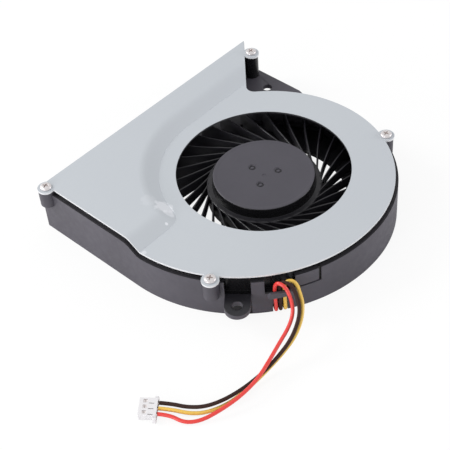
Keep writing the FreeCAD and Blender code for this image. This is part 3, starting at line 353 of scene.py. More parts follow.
class CadLook(Enum):
    """CAD nodes that stay as they are, with the finish of each."""

    YOKE = ("rotor_yoke", YOKE_STEEL)
    MAGNET = ("rotor_magnet", MAGNET)
    SHAFT = ("rotor_shaft", GROUND_STEEL)
    TUBE = ("bearing_tube", BRASS)
    BEARING = ("sleeve_bearing", SINTERED)
    THRUST = ("thrust_plate", WHITE_NYLON)
    RETAINER = ("shaft_retainer", CLEAR_NYLON)
    SEAL = ("oil_seal", CLEAR_NYLON)
    CORE = ("stator_core", LAMINATIONS)
    UPPER = ("insulator_upper", INSULATOR)
    LOWER = ("insulator_lower", INSULATOR)
    COILS = ("stator_coils", COPPER)
    BOARD = ("motor_board", SOLDER_RESIST)
    CHIP = ("driver_chip", CHIP_BODY)
    SMALL = ("board_parts", CERAMIC)
    JOINTS = ("solder_joints", SOLDER)
    PRELOAD = ("preload_ring", GROUND_STEEL)


# Mesh helpers, in millimetres


def to_object(name: str, mesh: Mesh, finish: Finish, crease: float = CREASE,
              second: Finish | None = None, third: Finish | None = None) -> Piece:
    """Turn a mesh in millimetres into an object in metres, shaded smooth up to a crease angle.

    Args:
        name: the object's name.
        mesh: the mesh, which is freed.
        finish: its finish.
        crease: angle in degrees above which an edge stays sharp.
        second: finish of the faces that have material index 1.
        third: finish of the faces that have material index 2.

    Returns:
        The object, linked to the scene.
    """
    data = bpy.data.meshes.new(name)
    mesh.transform(Matrix.Scale(MM, 4))
    mesh.to_mesh(data)
    mesh.free()
    for used in (finish, second, third):
        if used:
            data.materials.append(used.material())
    data.shade_smooth()
    data.set_sharp_from_angle(angle=math.radians(crease))
    made = bpy.data.objects.new(name, data)
    bpy.context.scene.collection.objects.link(made)
    return made


def weld(mesh: Mesh, distance: float = 0.0005) -> None:
    """Merge doubled points and drop faces that collapse."""
    bmesh.ops.remove_doubles(mesh, verts=mesh.verts, dist=distance)
    bmesh.ops.dissolve_degenerate(mesh, edges=mesh.edges, dist=distance)


def add_lathe(mesh: Mesh, profile: Sequence[Plan], steps: int = 96, x: float = 0.0,
              y: float = 0.0, z: float = 0.0) -> None:
    """Turn a closed profile of (radius, height) points round an upright axis.

    Args:
        mesh: the mesh that gets the shape.
        profile: the points, counter-clockwise with the radius to the right.
        steps: sides of the turned shape.
        x: the axis's place.
        y: the axis's place.
        z: height of the profile's zero.
    """
    turns = [2 * math.pi * step / steps for step in range(steps)]
    rings = [[mesh.verts.new((x + radius * math.cos(turn), y + radius * math.sin(turn), z + height))
              for turn in turns] for radius, height in profile]
    count = len(profile)
    for index in range(count):
        low, high = rings[index], rings[(index + 1) % count]
        for step in range(steps):
            after = (step + 1) % steps
            mesh.faces.new((low[step], low[after], high[after], high[step]))
    bmesh.ops.remove_doubles(mesh, verts=[vert for ring in rings for vert in ring], dist=0.0005)
    loose = [face for face in mesh.faces if face.calc_area() < 1e-9]
    bmesh.ops.delete(mesh, geom=loose, context="FACES_ONLY")


def add_prism(mesh: Mesh, outline: Sequence[Plan], low: float, high: float) -> None:
    """Add an upright solid over a counter-clockwise outline.

    Args:
        mesh: the mesh that gets the solid.
        outline: the points of the plan.
        low: height of the underside.
        high: height of the top.
    """
    bottom = [mesh.verts.new((x, y, low)) for x, y in outline]
    top = [mesh.verts.new((x, y, high)) for x, y in outline]
    mesh.faces.new(list(reversed(bottom)))
    mesh.faces.new(top)
    for index in range(len(outline)):
        after = (index + 1) % len(outline)
        mesh.faces.new((bottom[index], bottom[after], top[after], top[index]))


def rounded(piece: Piece, width: float, segments: int = 2,
            angle: float = 40.0) -> Piece:
    """Round a piece's sharp edges and keep the result as its mesh.

    Args:
        piece: the piece.
        width: width of the rounding in millimetres.
        segments: steps across the rounding.
        angle: smallest edge angle in degrees that is rounded.

    Returns:
        The same piece.
    """
    bevel = piece.modifiers.new("rounding", "BEVEL")
    bevel.width = width * MM
    bevel.segments = segments
    bevel.limit_method = "ANGLE"
    bevel.angle_limit = math.radians(angle)
    bevel.miter_outer = "MITER_ARC"
    bevel.use_clamp_overlap = True
    return with_even_shading(piece)


def with_even_shading(piece: Piece) -> Piece:
    """Leave large flat faces flat under smooth shading, and keep the result as the piece's mesh.

    Args:
        piece: the piece.

    Returns:
        The same piece.
    """
    even = piece.modifiers.new("even_shading", "WEIGHTED_NORMAL")
    even.mode = "FACE_AREA"
    even.weight = 80
    even.keep_sharp = True
    return bake(piece)


def evened(piece: Piece, crease: float = CREASE) -> Piece:
    """Shade a piece smooth up to a crease angle, with large flat faces left flat.

    Args:
        piece: the piece.
        crease: angle in degrees above which an edge stays sharp.

    Returns:
        The same piece.
    """
    piece.data.shade_smooth()
    piece.data.set_sharp_from_angle(angle=math.radians(crease))
    return with_even_shading(piece)


def bake(piece: Piece) -> Piece:
    """Keep what the modifiers make as the piece's plain mesh, and remove them.

    Args:
        piece: the piece.

    Returns:
        The same piece.
    """
    graph = bpy.context.evaluated_depsgraph_get()
    baked = bpy.data.meshes.new_from_object(piece.evaluated_get(graph))
    piece.modifiers.clear()
    old = piece.data
    piece.data = baked
    bpy.data.meshes.remove(old)
    return piece


def carve(piece: Piece, tool: Piece) -> Piece:
    """Cut a tool out of a piece and remove the tool.

    Args:
        piece: the piece.
        tool: the tool.

    Returns:
        The same piece.
    """
    cutting = piece.modifiers.new("carving", "BOOLEAN")
    cutting.operation = "DIFFERENCE"
    cutting.solver = "EXACT"
    cutting.object = tool
    bake(piece)
    bpy.data.objects.remove(tool)
    return evened(piece)


def arc(centre: Plan, radius: float, start: float, end: float, step: float = 2.0) -> list[Plan]:
    """Points of an arc, both ends included.

    Args:
        centre: its centre.
        radius: its radius.
        start: first angle in degrees.
        end: last angle in degrees.
        step: largest angle between points.

    Returns:
        The points.
    """
    count = max(2, math.ceil(abs(end - start) / step) + 1)
    turns = [math.radians(start + (end - start) * i / (count - 1)) for i in range(count)]
    return [(centre[0] + radius * math.cos(t), centre[1] + radius * math.sin(t)) for t in turns]


def inside(point: Plan, loop: Sequence[Plan]) -> bool:
    """Whether a point lies in a closed outline.

    Args:
        point: the point.
        loop: the outline.

    Returns:
        Whether it does.
    """
    x, y = point
    odd = False
    for (ax, ay), (bx, by) in zip(loop, [*loop[1:], loop[0]]):
        if (ay > y) != (by > y) and x < (bx - ax) * (y - ay) / (by - ay) + ax:
            odd = not odd
    return odd


def fill_plan(outer: Sequence[Plan], holes: Sequence[Sequence[Plan]],
              lines: Sequence[Sequence[Plan]] = (), points: Sequence[Plan] = ()) -> tuple[list, list]:
    """Triangles that fill an outline with holes, with extra lines and points kept as edges.

    Args:
        outer: the outer outline.
        holes: the outlines of the holes.
        lines: open lines that the triangles follow.
        points: further points.

    Returns:
        The points and the triangles' indices.
    """
    spots: list[Vector] = []
    edges: list[tuple[int, int]] = []
    for loop in (outer, *holes):
        start = len(spots)
        spots.extend(Vector(p) for p in loop)
        edges.extend((start + i, start + (i + 1) % len(loop)) for i in range(len(loop)))
    for line in lines:
        start = len(spots)
        spots.extend(Vector(p) for p in line)
        edges.extend((start + i, start + i + 1) for i in range(len(line) - 1))
    spots.extend(Vector(p) for p in points)
    verts, _, faces, _, _, _ = delaunay_2d_cdt(spots, edges, [], 0, 1e-5)
    kept = []
    for face in faces:
        x = sum(verts[i].x for i in face) / len(face)
        y = sum(verts[i].y for i in face) / len(face)
        if inside((x, y), outer) and not any(inside((x, y), hole) for hole in holes):
            kept.append(tuple(face))
    return [(v.x, v.y) for v in verts], kept


def add_plate(mesh: Mesh, plan: tuple[list, list], top: Callable[[float, float], float],
              thickness: float) -> None:
    """Add a plate over a triangulated plan, its top at a height that may change over it.

    Args:
        mesh: the mesh that gets the plate.
        plan: points and triangles, as fill_plan gives them.
        top: height of the top face at a point.
        thickness: thickness of the plate.
    """
    spots, faces = plan
    used = sorted({i for face in faces for i in face})
    upper = {i: mesh.verts.new((*spots[i], top(*spots[i]))) for i in used}
    lower = {i: mesh.verts.new((*spots[i], top(*spots[i]) - thickness)) for i in used}
    borders: dict[tuple[int, int], bool] = {}
    for face in faces:
        a, b, c = (Vector(spots[i]) for i in face[:3])
        order = face if (b - a).cross(c - a) > 0 else tuple(reversed(face))
        mesh.faces.new([upper[i] for i in order])
        mesh.faces.new([lower[i] for i in reversed(order)])
        for i, j in zip(order, [*order[1:], order[0]]):
            if (j, i) in borders:
                del borders[(j, i)]
            else:
                borders[(i, j)] = True
    for i, j in borders:
        mesh.faces.new((lower[i], lower[j], upper[j], upper[i]))


# Plan of the volute, in millimetres

ARC_STATION = 100.0
TAIL_STATION = 1000.0
BEND_STATION = 2000.0
SLANT_STATION = 3000.0


@dataclass(frozen=True)
class Volute:
    """Plan of the blower and the height of its stepped cover."""

    inlet: float = 22.0
    round_top: float = 12.2
    outlet_top: float = 14.6
    sheet: float = 0.5
    left: float = 40.15
    reach: float = 37.15
    base_reach: float = 38.0
    big: float = 38.6
    rise: float = 5.0
    small: float = 32.15
    hand_over: float = -83.3
    tip_x: float = 34.1
    slant: float = 43.8
    bend: float = 2.3
    foot_left: float = 3.55
    foot_radius: float = 26.2
    foot_corner: float = 4.5
    slope: float = 3.9
    foot_bend: float = 0.35
    brow_bend: float = 2.2
    crease: float = 0.06
    crease_width: float = 0.09

    @property
    def centre(self) -> Plan:
        """Centre of the large arc."""
        return self.big - self.left, self.rise

    @property
    def tail(self) -> Plan:
        """Centre of the small arc.

        Returns:
            The point.
        """
        turn = math.radians(self.hand_over)
        x, y = self.centre
        gap = self.big - self.small
        return x + gap * math.cos(turn), y + gap * math.sin(turn)

    @property
    def pivot(self) -> Plan:
        """Centre of the throat's bend.

        Returns:
            The point.
        """
        turn = math.radians(self.slant)
        along = Vector((math.cos(turn), math.sin(turn)))
        aside = Vector((along.y, -along.x))
        tail = Vector(self.tail)
        offset = Vector((self.tip_x, self.reach)) + aside * self.bend - tail
        run = offset.dot(along)
        back = math.sqrt(run ** 2 - offset.length ** 2 + (self.small + self.bend) ** 2) - run
        spot = tail + offset + along * back
        return spot.x, spot.y

    @property
    def nose(self) -> float:
        """Direction in degrees from the small arc's centre to the throat's bend."""
        return math.degrees(math.atan2(self.pivot[1] - self.tail[1], self.pivot[0] - self.tail[0]))

    def spots(self, offset: float, reach: float, step: float = 1.5,
              stops: Sequence[float] = ()) -> list[tuple[float, float, float]]:
        """Points of the wall line, from the outlet's left end round to its right end.

        Args:
            offset: distance outside the cover's edge.
            reach: where both ends stop, along Y.
            step: largest angle between points on the arcs, in degrees.
            stops: directions on the large arc that need a point of their own.

        Returns:
            Points as (x, y, station), where the station counts up along the line: below ARC_STATION
            on the left wall, the direction in degrees on the large arc, then from TAIL_STATION on
            the small arc, BEND_STATION in the throat and SLANT_STATION on the slanted wall.
        """
        found: list[tuple[float, float, float]] = []
        levels = [reach, 30.0, 20.0, 12.0]
        levels += [self.foot_left + self.slope + 1.0 - 0.2 * i for i in range(30)]
        levels = sorted({round(v, 4) for v in levels if self.rise < v <= reach}, reverse=True)
        for level in levels:
            found.append((-self.left - offset, level, reach - level))
        turns = [180.0 + step * i for i in range(math.ceil((180 + self.hand_over) / step))]
        turns = sorted({*turns, *(s + 360 for s in stops), 360.0 + self.hand_over})
        for turn in turns:
            ((x, y),) = arc(self.centre, self.big + offset, turn, turn, 1.0)[:1]
            found.append((x, y, turn))
        for i, (x, y) in enumerate(arc(self.tail, self.small + offset, self.hand_over, self.nose, step)):
            if i:
                found.append((x, y, TAIL_STATION + i))
        start = self.nose + 180.0
        end = self.slant + 90.0
        bend = arc(self.pivot, self.bend - offset, start, end, 6.0)
        for i, (x, y) in enumerate(bend[1:]):
            found.append((x, y, BEND_STATION + i))
        foot = Vector(bend[-1])
        along = Vector((math.cos(math.radians(self.slant)), math.sin(math.radians(self.slant))))
        run, steps = (reach - foot.y) / along.y, 60
        for i in range(1, steps + 1):
            spot = foot + along * (run * i / steps)
            found.append((spot.x, spot.y, SLANT_STATION + i))
        return found

    def loop(self, offset: float, reach: float, step: float = 1.5) -> list[Plan]:
        """Closed counter-clockwise outline at an offset."""
        return [(x, y) for x, y, _ in self.spots(offset, reach, step)]

    @property
    def foot_pivot(self) -> Plan:
        """Centre of the corner in the foot of the cover's step."""
        y = self.foot_left + self.foot_corner
        return -math.sqrt((self.foot_radius + self.foot_corner) ** 2 - y ** 2), y

    def past_foot(self, x: float, y: float) -> float:
        """Distance of a point past the foot of the cover's step, towards the outlet.

        Args:
            x: the point's place.
            y: the point's place.

        Returns:
            The distance, below zero on the inlet's side.
        """
        if x >= 0:
            return y - self.foot_radius
        pivot_x, pivot_y = self.foot_pivot
        dx, dy = x - pivot_x, y - pivot_y
        turn = math.degrees(math.atan2(dy, dx))
        if -90.0 <= turn <= math.degrees(math.atan2(-pivot_y, -pivot_x)):
            return self.foot_corner - math.hypot(dx, dy)
        return min(y - self.foot_left, math.hypot(x, y) - self.foot_radius)

    def top(self, x: float, y: float) -> float:
        """Height of the cover's top face at a point.

        Args:
            x: the point's place.
            y: the point's place.

        Returns:
            The height.
        """
        past = self.past_foot(x, y)
        pitch = (self.outlet_top - self.round_top) / self.slope
        ramp = soft_ramp(past, self.foot_bend) - soft_ramp(past - self.slope, self.brow_bend)
        dent = self.crease * max(0.0, 1.0 - abs(past) / self.crease_width)
        return self.round_top + pitch * ramp - dent


def soft_ramp(value: float, width: float) -> float:
    """Ramp that starts at zero, rounded over a width.

    Args:
        value: distance along the ramp.
        width: width of the rounding.

    Returns:
        The ramp's height at a pitch of one.
    """
    if value <= -width / 2:
        return 0.0
    if value >= width / 2:
        return value
    return (value + width / 2) ** 2 / (2 * width)


VOLUTE = Volute()


@dataclass(frozen=True)
class ScrewSpot:
    """Place of a cover screw, the cover's level there, and the height and radius of its boss."""

    x: float
    y: float
    level: float
    boss: float
    radius: float = 1.9


SCREW_SPOTS = (
    ScrewSpot(-40.8, 35.6, 14.6, 4.8, 2.1),
    ScrewSpot(31.304, 31.975, 14.6, 8.5),
    ScrewSpot(28.98, -16.19, 12.2, 5.3),
    ScrewSpot(-35.9, -15.31, 12.2, 5.3),
)


# Cover


@dataclass
class Cover:
    """Stamped cover with its raised outlet part, inlet and screw tabs."""

    tab: float = 2.15
    hole: float = 0.85
    folds: tuple[float, ...] = (-0.18, -0.09, 0.0, 0.09, 0.18, 1.0, 1.9, 2.75, 3.05, 3.35, 3.65, 3.9,
                                4.2, 4.6, 5.0)
    rounding: float = 0.07

    def outline(self) -> list[Plan]:
        """Cover's edge with the tabs joined to it.

        Returns:
            The closed outline.
        """
        loop = VOLUTE.loop(0.0, VOLUTE.reach)
        for spot in SCREW_SPOTS:
            loop = self._with_tab(loop, (spot.x, spot.y))
        return loop

    def _with_tab(self, loop: list[Plan], spot: Plan) -> list[Plan]:
        """Replace the part of an outline inside a tab by the tab's outer arc.

        Args:
            loop: the closed outline.
            spot: the tab's centre.

        Returns:
            The new outline.
        """
        step, around, many = 0.25, 6.0, 40
        dense: list[Plan] = []
        for a, b in zip(loop, [*loop[1:], loop[0]]):
            pieces = max(1, math.ceil(math.dist(a, b) / step))
            near = math.dist(a, spot) < around or math.dist(b, spot) < around or pieces > many
            count = pieces if near else 1
            dense.extend((a[0] + (b[0] - a[0]) * i / count, a[1] + (b[1] - a[1]) * i / count)
                         for i in range(count))
        outside = [math.dist(p, spot) > self.tab for p in dense]
        first = next(i for i in range(len(dense)) if outside[i] and not outside[(i + 1) % len(dense)])
        turned = dense[first:] + dense[:first]
        flags = outside[first:] + outside[:first]
        last = next(i for i in range(1, len(turned)) if flags[i])
        start, end = turned[0], turned[last]
        from_turn = math.degrees(math.atan2(start[1] - spot[1], start[0] - spot[0]))
        to_turn = math.degrees(math.atan2(end[1] - spot[1], end[0] - spot[0]))
        while to_turn < from_turn:
            to_turn += 360.0
        return arc(spot, self.tab, from_turn, to_turn, 9.0) + turned[last:]

    def creases(self) -> list[list[Plan]]:
        """Lines along the step that the sheet's triangles follow.

        Returns:
            Open lines, one for each distance past the step's foot.
        """
        pivot_x, pivot_y = VOLUTE.foot_pivot
        toward = math.degrees(math.atan2(-pivot_y, -pivot_x))
        back = math.degrees(math.atan2(pivot_y, pivot_x))
        lines = []
        for past in self.folds:
            level, over = VOLUTE.foot_left + past, past - VOLUTE.foot_corner
            line: list[Plan] = [(-46.0 + 2.0 * i, level) for i in range(7)]
            if over > 0:
                line.append((pivot_x - 0.3 * over, level))
            else:
                line.append((-32.0, level))
                line += arc((pivot_x, pivot_y), -over, -90.0, toward, 7.0)
            line += arc((0.0, 0.0), VOLUTE.foot_radius + past, back - int(over > 0), 90.0, 2.5)
            line += [(2.0 * i, VOLUTE.foot_radius + past) for i in range(1, 20)]
            lines.append(line)
        return lines

    def build(self) -> Piece:
        """Build the cover.

        Returns:
            The piece, in place of its CAD node.
        """
        holes = [arc((0.0, 0.0), VOLUTE.inlet, 0.0, 358.0, 2.0)]
        holes += [arc((s.x, s.y), self.hole, 0.0, 340.0, 20.0) for s in SCREW_SPOTS]
        plan = fill_plan(self.outline(), holes, self.creases())
        mesh = bmesh.new()
        add_plate(mesh, plan, VOLUTE.top, VOLUTE.sheet)
        mesh.normal_update()
        # upright faces round the inlet get the painted shade
        for face in mesh.faces:
            middle = face.calc_center_median()
            upright = abs(face.normal.z) < 0.5
            face.material_index = int(upright and math.hypot(middle.x, middle.y) < VOLUTE.inlet + 0.05)
        piece = rounded(to_object("cover", mesh, COVER_SHEET, 25.0, INLET_EDGE_SHADE), self.rounding, 2, 60.0)
        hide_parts("top_cover")
        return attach(piece, HOUSING)


# Housing


class Stretch(Enum):
    """What the upper part of the wall has at a cross-section."""

    PLAIN = 0
    RECESS = 1
    EAR = 2
    PANEL = 3


# Faces of the wall, each between a point of its cross-section and the next

# faces that get painted shade: below the ear, the groove, the recesses, the ledge and the rim under the
# cover
EAR_FACES = range(1, 6)
GROOVE_FACE = 5
RECESS_FACES = range(5, 9)
LEDGE_FACE = 8
RIM_FACES = range(9, 11)


@dataclass
class Housing:
    """Moulded base: wall with bosses, ears and hook, and the plate that closes it below."""

    outer: float = 0.75
    flush: float = 0.03
    inner: float = -0.95
    rim: float = -0.25
    rim_height: float = 0.9
    floor: float = 1.2
    window: float = 21.5
    seat: float = 12.6
    seat_profile: tuple[Plan, ...] = ((3.2, 0.4), (5.0, 0.4), (5.0, 1.9), (3.2, 1.9))
    arm: float = 2.6
    arm_turns: tuple[float, ...] = (-60.0, 60.0, 180.0)
    boss_bore: float = 0.85
    boss_depth: float = 3.4
    boss_edge: float = 0.25
    ear_turn: float = -140.6
    ear_root: float = -0.25
    ear_out: float = 3.55
    ear_radius: float = 3.1
    ear_hole: float = 1.25
    ear_low: float = 5.6
    ear_top: float = 7.0
    ear_shadow: float = 0.45
    pocket: float = 1.5
    backing: float = 2.5
    lead_turn: float = -126.4
    lead_from: float = -3.5
    lead_to: float = 3.8
    lead_backing: Plan = (1.6, 1.3)
    channel: float = 3.5
    channel_back: float = 25.0
    roof_back: float = 22.4
    roof: float = 2.1
    rails: float = 5.4
    rail_top: float = 1.9
    notch: float = 1.1
    notch_top: float = 2.6
    line_level: float = 6.5
    line_depth: float = 0.4
    line_from: float = 6.0
    line_to: float = 14.2
    line_width: float = 0.95
    flange_hole: Plan = (11.7, 5.7)
    flange_edge: Plan = (0.4, 18.0)
    flange_turn: float = 12.0
    flange_share: float = 0.46
    hook_low: float = 6.6
    hook_high: float = 8.3
    hook_root: float = -1.7
    hook_gap: float = 1.2
    hook_thick: float = 0.8
    hook_long: float = 6.4
    rounding: float = 0.13

    def at_wall(self, out: float, aside: float, turn: float) -> Plan:
        """Point out from the wall's face and aside of a direction from the volute's centre.

        Args:
            out: distance out from the face.
            aside: distance to the left of the direction.
            turn: the direction in degrees.

        Returns:
            The point.
        """
        reach = VOLUTE.big + self.outer + out
        c, s = math.cos(math.radians(turn)), math.sin(math.radians(turn))
        x, y = VOLUTE.centre
        return x + reach * c - aside * s, y + reach * s + aside * c

    def plank(self, turn: float, start: float, end: float, left: float, right: float) -> list[Plan]:
        """Rectangle at the wall: out from start to end, aside from left to right."""
        return [self.at_wall(start, left, turn), self.at_wall(end, left, turn),
                self.at_wall(end, right, turn), self.at_wall(start, right, turn)]

    def span(self, start: float, end: float, turn: float) -> Plan:
        """Directions, plus 360, between which a stretch of the wall lies.

        Args:
            start: its start, aside of a direction.
            end: its end, aside of the direction.
            turn: the direction in degrees.

        Returns:
            The two directions in degrees.
        """
        face = VOLUTE.big + self.outer
        return (360 + turn + math.degrees(math.asin(start / face)),
                360 + turn + math.degrees(math.asin(end / face)))

    def sections(self) -> list[tuple[Stretch, list[Point]]]:
        """Cross-sections of the wall, doubled where its face steps in or out.

        Returns:
            What the wall's upper part has at each, and its ring of points, from the outlet's left
            end round to its right end.
        """
        before, after = self.lead_backing
        ear, ear_back, lead, lead_back, foot = (self.span(*stretch) for stretch in (
            (-self.ear_radius, self.ear_radius, self.ear_turn),
            (-self.ear_radius - 1, self.ear_radius + 1, self.ear_turn),
            (self.lead_from, self.lead_to, self.lead_turn),
            (self.lead_from - before, self.lead_to + after, self.lead_turn),
            (-self.channel / 2, self.channel / 2, self.lead_turn)))
        line = (360 + self.lead_turn + self.line_from, 360 + self.lead_turn + self.line_to)
        post = (line[1], line[1] + self.line_width)
        stops = [v - 360 for pair in (ear, ear_back, lead, lead_back, foot, line, post) for v in pair]
        offsets = {name: VOLUTE.spots(value, VOLUTE.base_reach, 1.5, stops) for name, value in (
            ("inner", self.inner), ("inner_thick", self.outer - self.backing), ("outer", self.outer),
            ("rim", self.rim), ("pocket", self.outer - self.pocket), ("foot", self.outer - self.notch),
            ("line", self.outer - self.line_depth), ("flush", self.flush))}
        ledge = VOLUTE.sheet + self.rim_height
        rings = []
        for index, (_, level, station) in enumerate(offsets["outer"]):
            drawn_in = min(1.0, max(0.0, (station - BEND_STATION) / 12))
            capped = level <= VOLUTE.reach or station > ARC_STATION
            if station >= SLANT_STATION:
                capped = offsets["rim"][index][1] <= VOLUTE.reach
            crown = VOLUTE.sheet if capped else ledge

            def at(name: str, height: float | None, drop: float = 0.0) -> Point:
                """Point on a wall line, at a height or below the cover's top.

                Args:
                    name: the line.
                    height: the height, or None for the cover's top.
                    drop: distance below the cover's top.

                Returns:
                    The point.
                """
                x, y, _ = offsets[name][index]
                if name in ("outer", "foot"):
                    x += (offsets["flush"][index][0] - x) * drawn_in
                    y += (offsets["flush"][index][1] - y) * drawn_in
                return x, y, VOLUTE.top(x, y) - drop if height is None else height

            for slack in (-1e-6, 1e-6):
                def on(*pairs: Plan) -> bool:
                    """Whether the wall just before or after this station lies in a stretch."""
                    return any(start <= station + slack <= end for start, end in pairs)

                deep = on(ear, lead)
                upper = "pocket" if deep else "line" if on(post) else "outer"
                groove = "line" if on(line, post) else "outer"
                low = "foot" if on(foot) else "outer"
                inner = "inner_thick" if on(ear_back, lead_back) else "inner"
                rim = "pocket" if deep else "rim"
                bottom = self.floor if on(foot) else 0.0
                shelf = self.ear_top - (self.ear_shadow if on(ear) else 0.0)
                ring = [at(inner, bottom), at(low, bottom), at(low, self.notch_top),
                        at("outer", self.notch_top), at("outer", self.line_level),
                        at(groove, self.line_level), at(groove, shelf), at(upper, shelf),
                        at(upper, None, ledge), at(rim, None, ledge), at(rim, None, crown),
                        at(inner, None, crown)]
                kind = (Stretch.EAR if on(ear) else Stretch.RECESS if upper != "outer"
                        else Stretch.PANEL if groove == "line" else Stretch.PLAIN)
                rings.append((kind, ring))
        return rings

    def add_wall(self, mesh: Mesh) -> None:
        """Add the wall along its cross-sections, with painted shade on its rim and ledge under the
        cover, in its recesses and groove, and below the ear.

        Args:
            mesh: the mesh that gets the wall.
        """
        sections = self.sections()
        rings = [[mesh.verts.new(p) for p in ring] for _, ring in sections]
        kinds = [kind for kind, _ in sections]
        for pair, before, after in zip(zip(kinds, kinds[1:]), rings, rings[1:]):
            recess = Stretch.RECESS in pair or Stretch.EAR in pair
            # painted shade on the rim under the cover, and on recesses, groove and the wall below the
            # ear
            painted_shade_faces = set(RIM_FACES)
            if recess:
                painted_shade_faces.update(RECESS_FACES)
            if pair == (Stretch.PANEL, Stretch.PANEL):
                painted_shade_faces.add(GROOVE_FACE)
            if pair == (Stretch.EAR, Stretch.EAR):
                painted_shade_faces.update(EAR_FACES)
            for i in range(len(before)):
                j = (i + 1) % len(before)
                face = mesh.faces.new((before[i], after[i], after[j], before[j]))
                # the ledge under the cover gets the darker plate moulding as painted shade
                face.material_index = 2 if i == LEDGE_FACE and not recess else int(i in painted_shade_faces)
        mesh.faces.new(rings[0])
        mesh.faces.new(list(reversed(rings[-1])))
        weld(mesh)

    def windows(self) -> list[list[Plan]]:
        """Outlines of the openings in the floor.

        Returns:
            Four inlet windows and the wire channel.
        """
        half, turn = self.arm / 2, math.radians(self.lead_turn)
        x, y = VOLUTE.centre
        lean = y * math.cos(turn) - x * math.sin(turn)
        bars = [(direction, -half, half) for direction in self.arm_turns]
        bars.append((360 + self.lead_turn, lean - self.rails / 2, lean + self.rails / 2))
        found = []
        for (turn, _, left), (after, right, _) in zip(bars, [*bars[1:], bars[0]]):
            if after <= turn:
                after += 360.0
            edges = [arc((0.0, 0.0), radius, turn + math.degrees(math.asin(left / radius)),
                         after + math.degrees(math.asin(right / radius)), 3.0)
                     for radius in (self.window, self.seat)]
            found.append(edges[0] + edges[1][::-1])
        found.append(self.plank(self.lead_turn, -self.channel_back, self.outer, -self.channel / 2,
                                self.channel / 2))
        return found

    def build_floor(self) -> Piece:
        """Build the floor with its windows, motor seat and arms.

        Returns:
            The plate.
        """
        mesh = bmesh.new()
        outer = VOLUTE.loop(self.inner + 0.001, VOLUTE.base_reach)
        add_plate(mesh, fill_plan(outer, self.windows()), lambda x, y: self.floor, self.floor)
        # the floor gets the darker plate moulding as painted shade
        return rounded(to_object("plate_sheet", mesh, SHADED_PLATE_MOULDING), 0.1, 2, 60.0)

    def build_wall(self) -> Piece:
        """Build the wall.

        Returns:
            The wall.
        """
        mesh = bmesh.new()
        self.add_wall(mesh)
        wall = to_object("housing_wall", mesh, BLACK_MOULDING, second=GLOSS_BLACK_AND_SHADE,
                         third=SHADED_PLATE_MOULDING)
        return rounded(wall, self.rounding)

    def build_bosses(self) -> Piece:
        """Build the screw bosses beside the wall, with painted shade on the rear one.

        Returns:
            The bosses.
        """
        mesh = bmesh.new()
        for spot in SCREW_SPOTS:
            top = spot.level - VOLUTE.sheet
            low, edge = top - spot.boss, self.boss_edge
            add_lathe(mesh, [(self.boss_bore, top - self.boss_depth), (spot.radius - edge, low),
                             (spot.radius, low + edge), (spot.radius, top), (self.boss_bore, top)],
                      48, spot.x, spot.y)
        # the rear boss, beside the cover's slanted edge, gets painted shade
        for face in mesh.faces:
            middle = face.calc_center_median()
            face.material_index = int(middle.x > 0 and middle.y > 0)
        return to_object("bosses", mesh, BLACK_MOULDING, second=GLOSS_BLACK_AND_SHADE)

    def build_channel(self) -> Piece:
        """Build the roof and the rails of the wire channel.

        Returns:
            The roof and rails.
        """
        mesh = bmesh.new()
        half = self.rails / 2
        add_prism(mesh, self.plank(self.lead_turn, -self.roof_back, -0.5, -half, half), self.floor,
                  self.roof)
        for edge in (-1, 1):
            inner, outer = sorted((edge * self.channel / 2, edge * half))
            add_prism(mesh, self.plank(self.lead_turn, -self.channel_back - 0.3, -self.roof_back,
                                       inner, outer), self.floor - 0.05, self.rail_top)
        return rounded(to_object("channel_roof", mesh, SHADED_PLATE_MOULDING), 0.1)

    def build_seat(self) -> Piece:
        """Build the raised ring that carries the motor's board.

        Returns:
            The ring.
        """
        mesh = bmesh.new()
        add_lathe(mesh, self.seat_profile, 64)
        return to_object("board_seat", mesh, SHADED_PLATE_MOULDING)

    def build_ear(self) -> Piece:
        """Build the front mounting ear.

        Returns:
            The ear.
        """
        centre = self.at_wall(self.ear_out, 0.0, self.ear_turn)
        outline = [self.at_wall(self.ear_root, -self.ear_radius, self.ear_turn)]
        outline += arc(centre, self.ear_radius, self.ear_turn - 90, self.ear_turn + 90, 6.0)
        outline.append(self.at_wall(self.ear_root, self.ear_radius, self.ear_turn))
        hole = arc(centre, self.ear_hole, 0.0, 350.0, 10.0)
        mesh = bmesh.new()
        add_plate(mesh, fill_plan(outline, [hole]), lambda x, y: self.ear_top,
                  self.ear_top - self.ear_low)
        mesh.normal_update()
        # upright faces get the lighter moulding as a painted lit edge; the top keeps the darker,
        # glossier moulding
        for face in mesh.faces:
            face.material_index = int(abs(face.normal.z) < 0.5)
        ear = to_object("front_ear", mesh, IMPELLER_MOULDING, second=BLACK_MOULDING)
        return evened(rounded(ear, 0.2, 2, 60.0), 18.0)

    def build_flange(self) -> Piece:
        """Build the rear mounting flange between the slanted and the round wall.

        Returns:
            The flange.
        """
        turn = math.radians(VOLUTE.slant)
        c, s = math.cos(turn), math.sin(turn)

        def on_slant(back: float, out: float) -> Plan:
            """Point back from the pointed corner along the slanted edge, and out from it."""
            return VOLUTE.tip_x - back * c + out * s, VOLUTE.reach - back * s - out * c

        outline = [(VOLUTE.tip_x, VOLUTE.reach), *(on_slant(back, 0.0) for back in self.flange_edge)]
        outline += arc(VOLUTE.tail, VOLUTE.small, VOLUTE.nose - 2.0, self.flange_turn, 3.0)
        outline.append((VOLUTE.tip_x, VOLUTE.reach * self.flange_share))
        outline.reverse()
        hole = arc(on_slant(*self.flange_hole), self.ear_hole, 0.0, 350.0, 10.0)
        mesh = bmesh.new()
        add_plate(mesh, fill_plan(outline, [hole]), lambda x, y: self.ear_top,
                  self.ear_top - self.ear_low)
        return evened(rounded(to_object("rear_flange", mesh, BLACK_MOULDING), 0.14, 2, 60.0), 18.0)

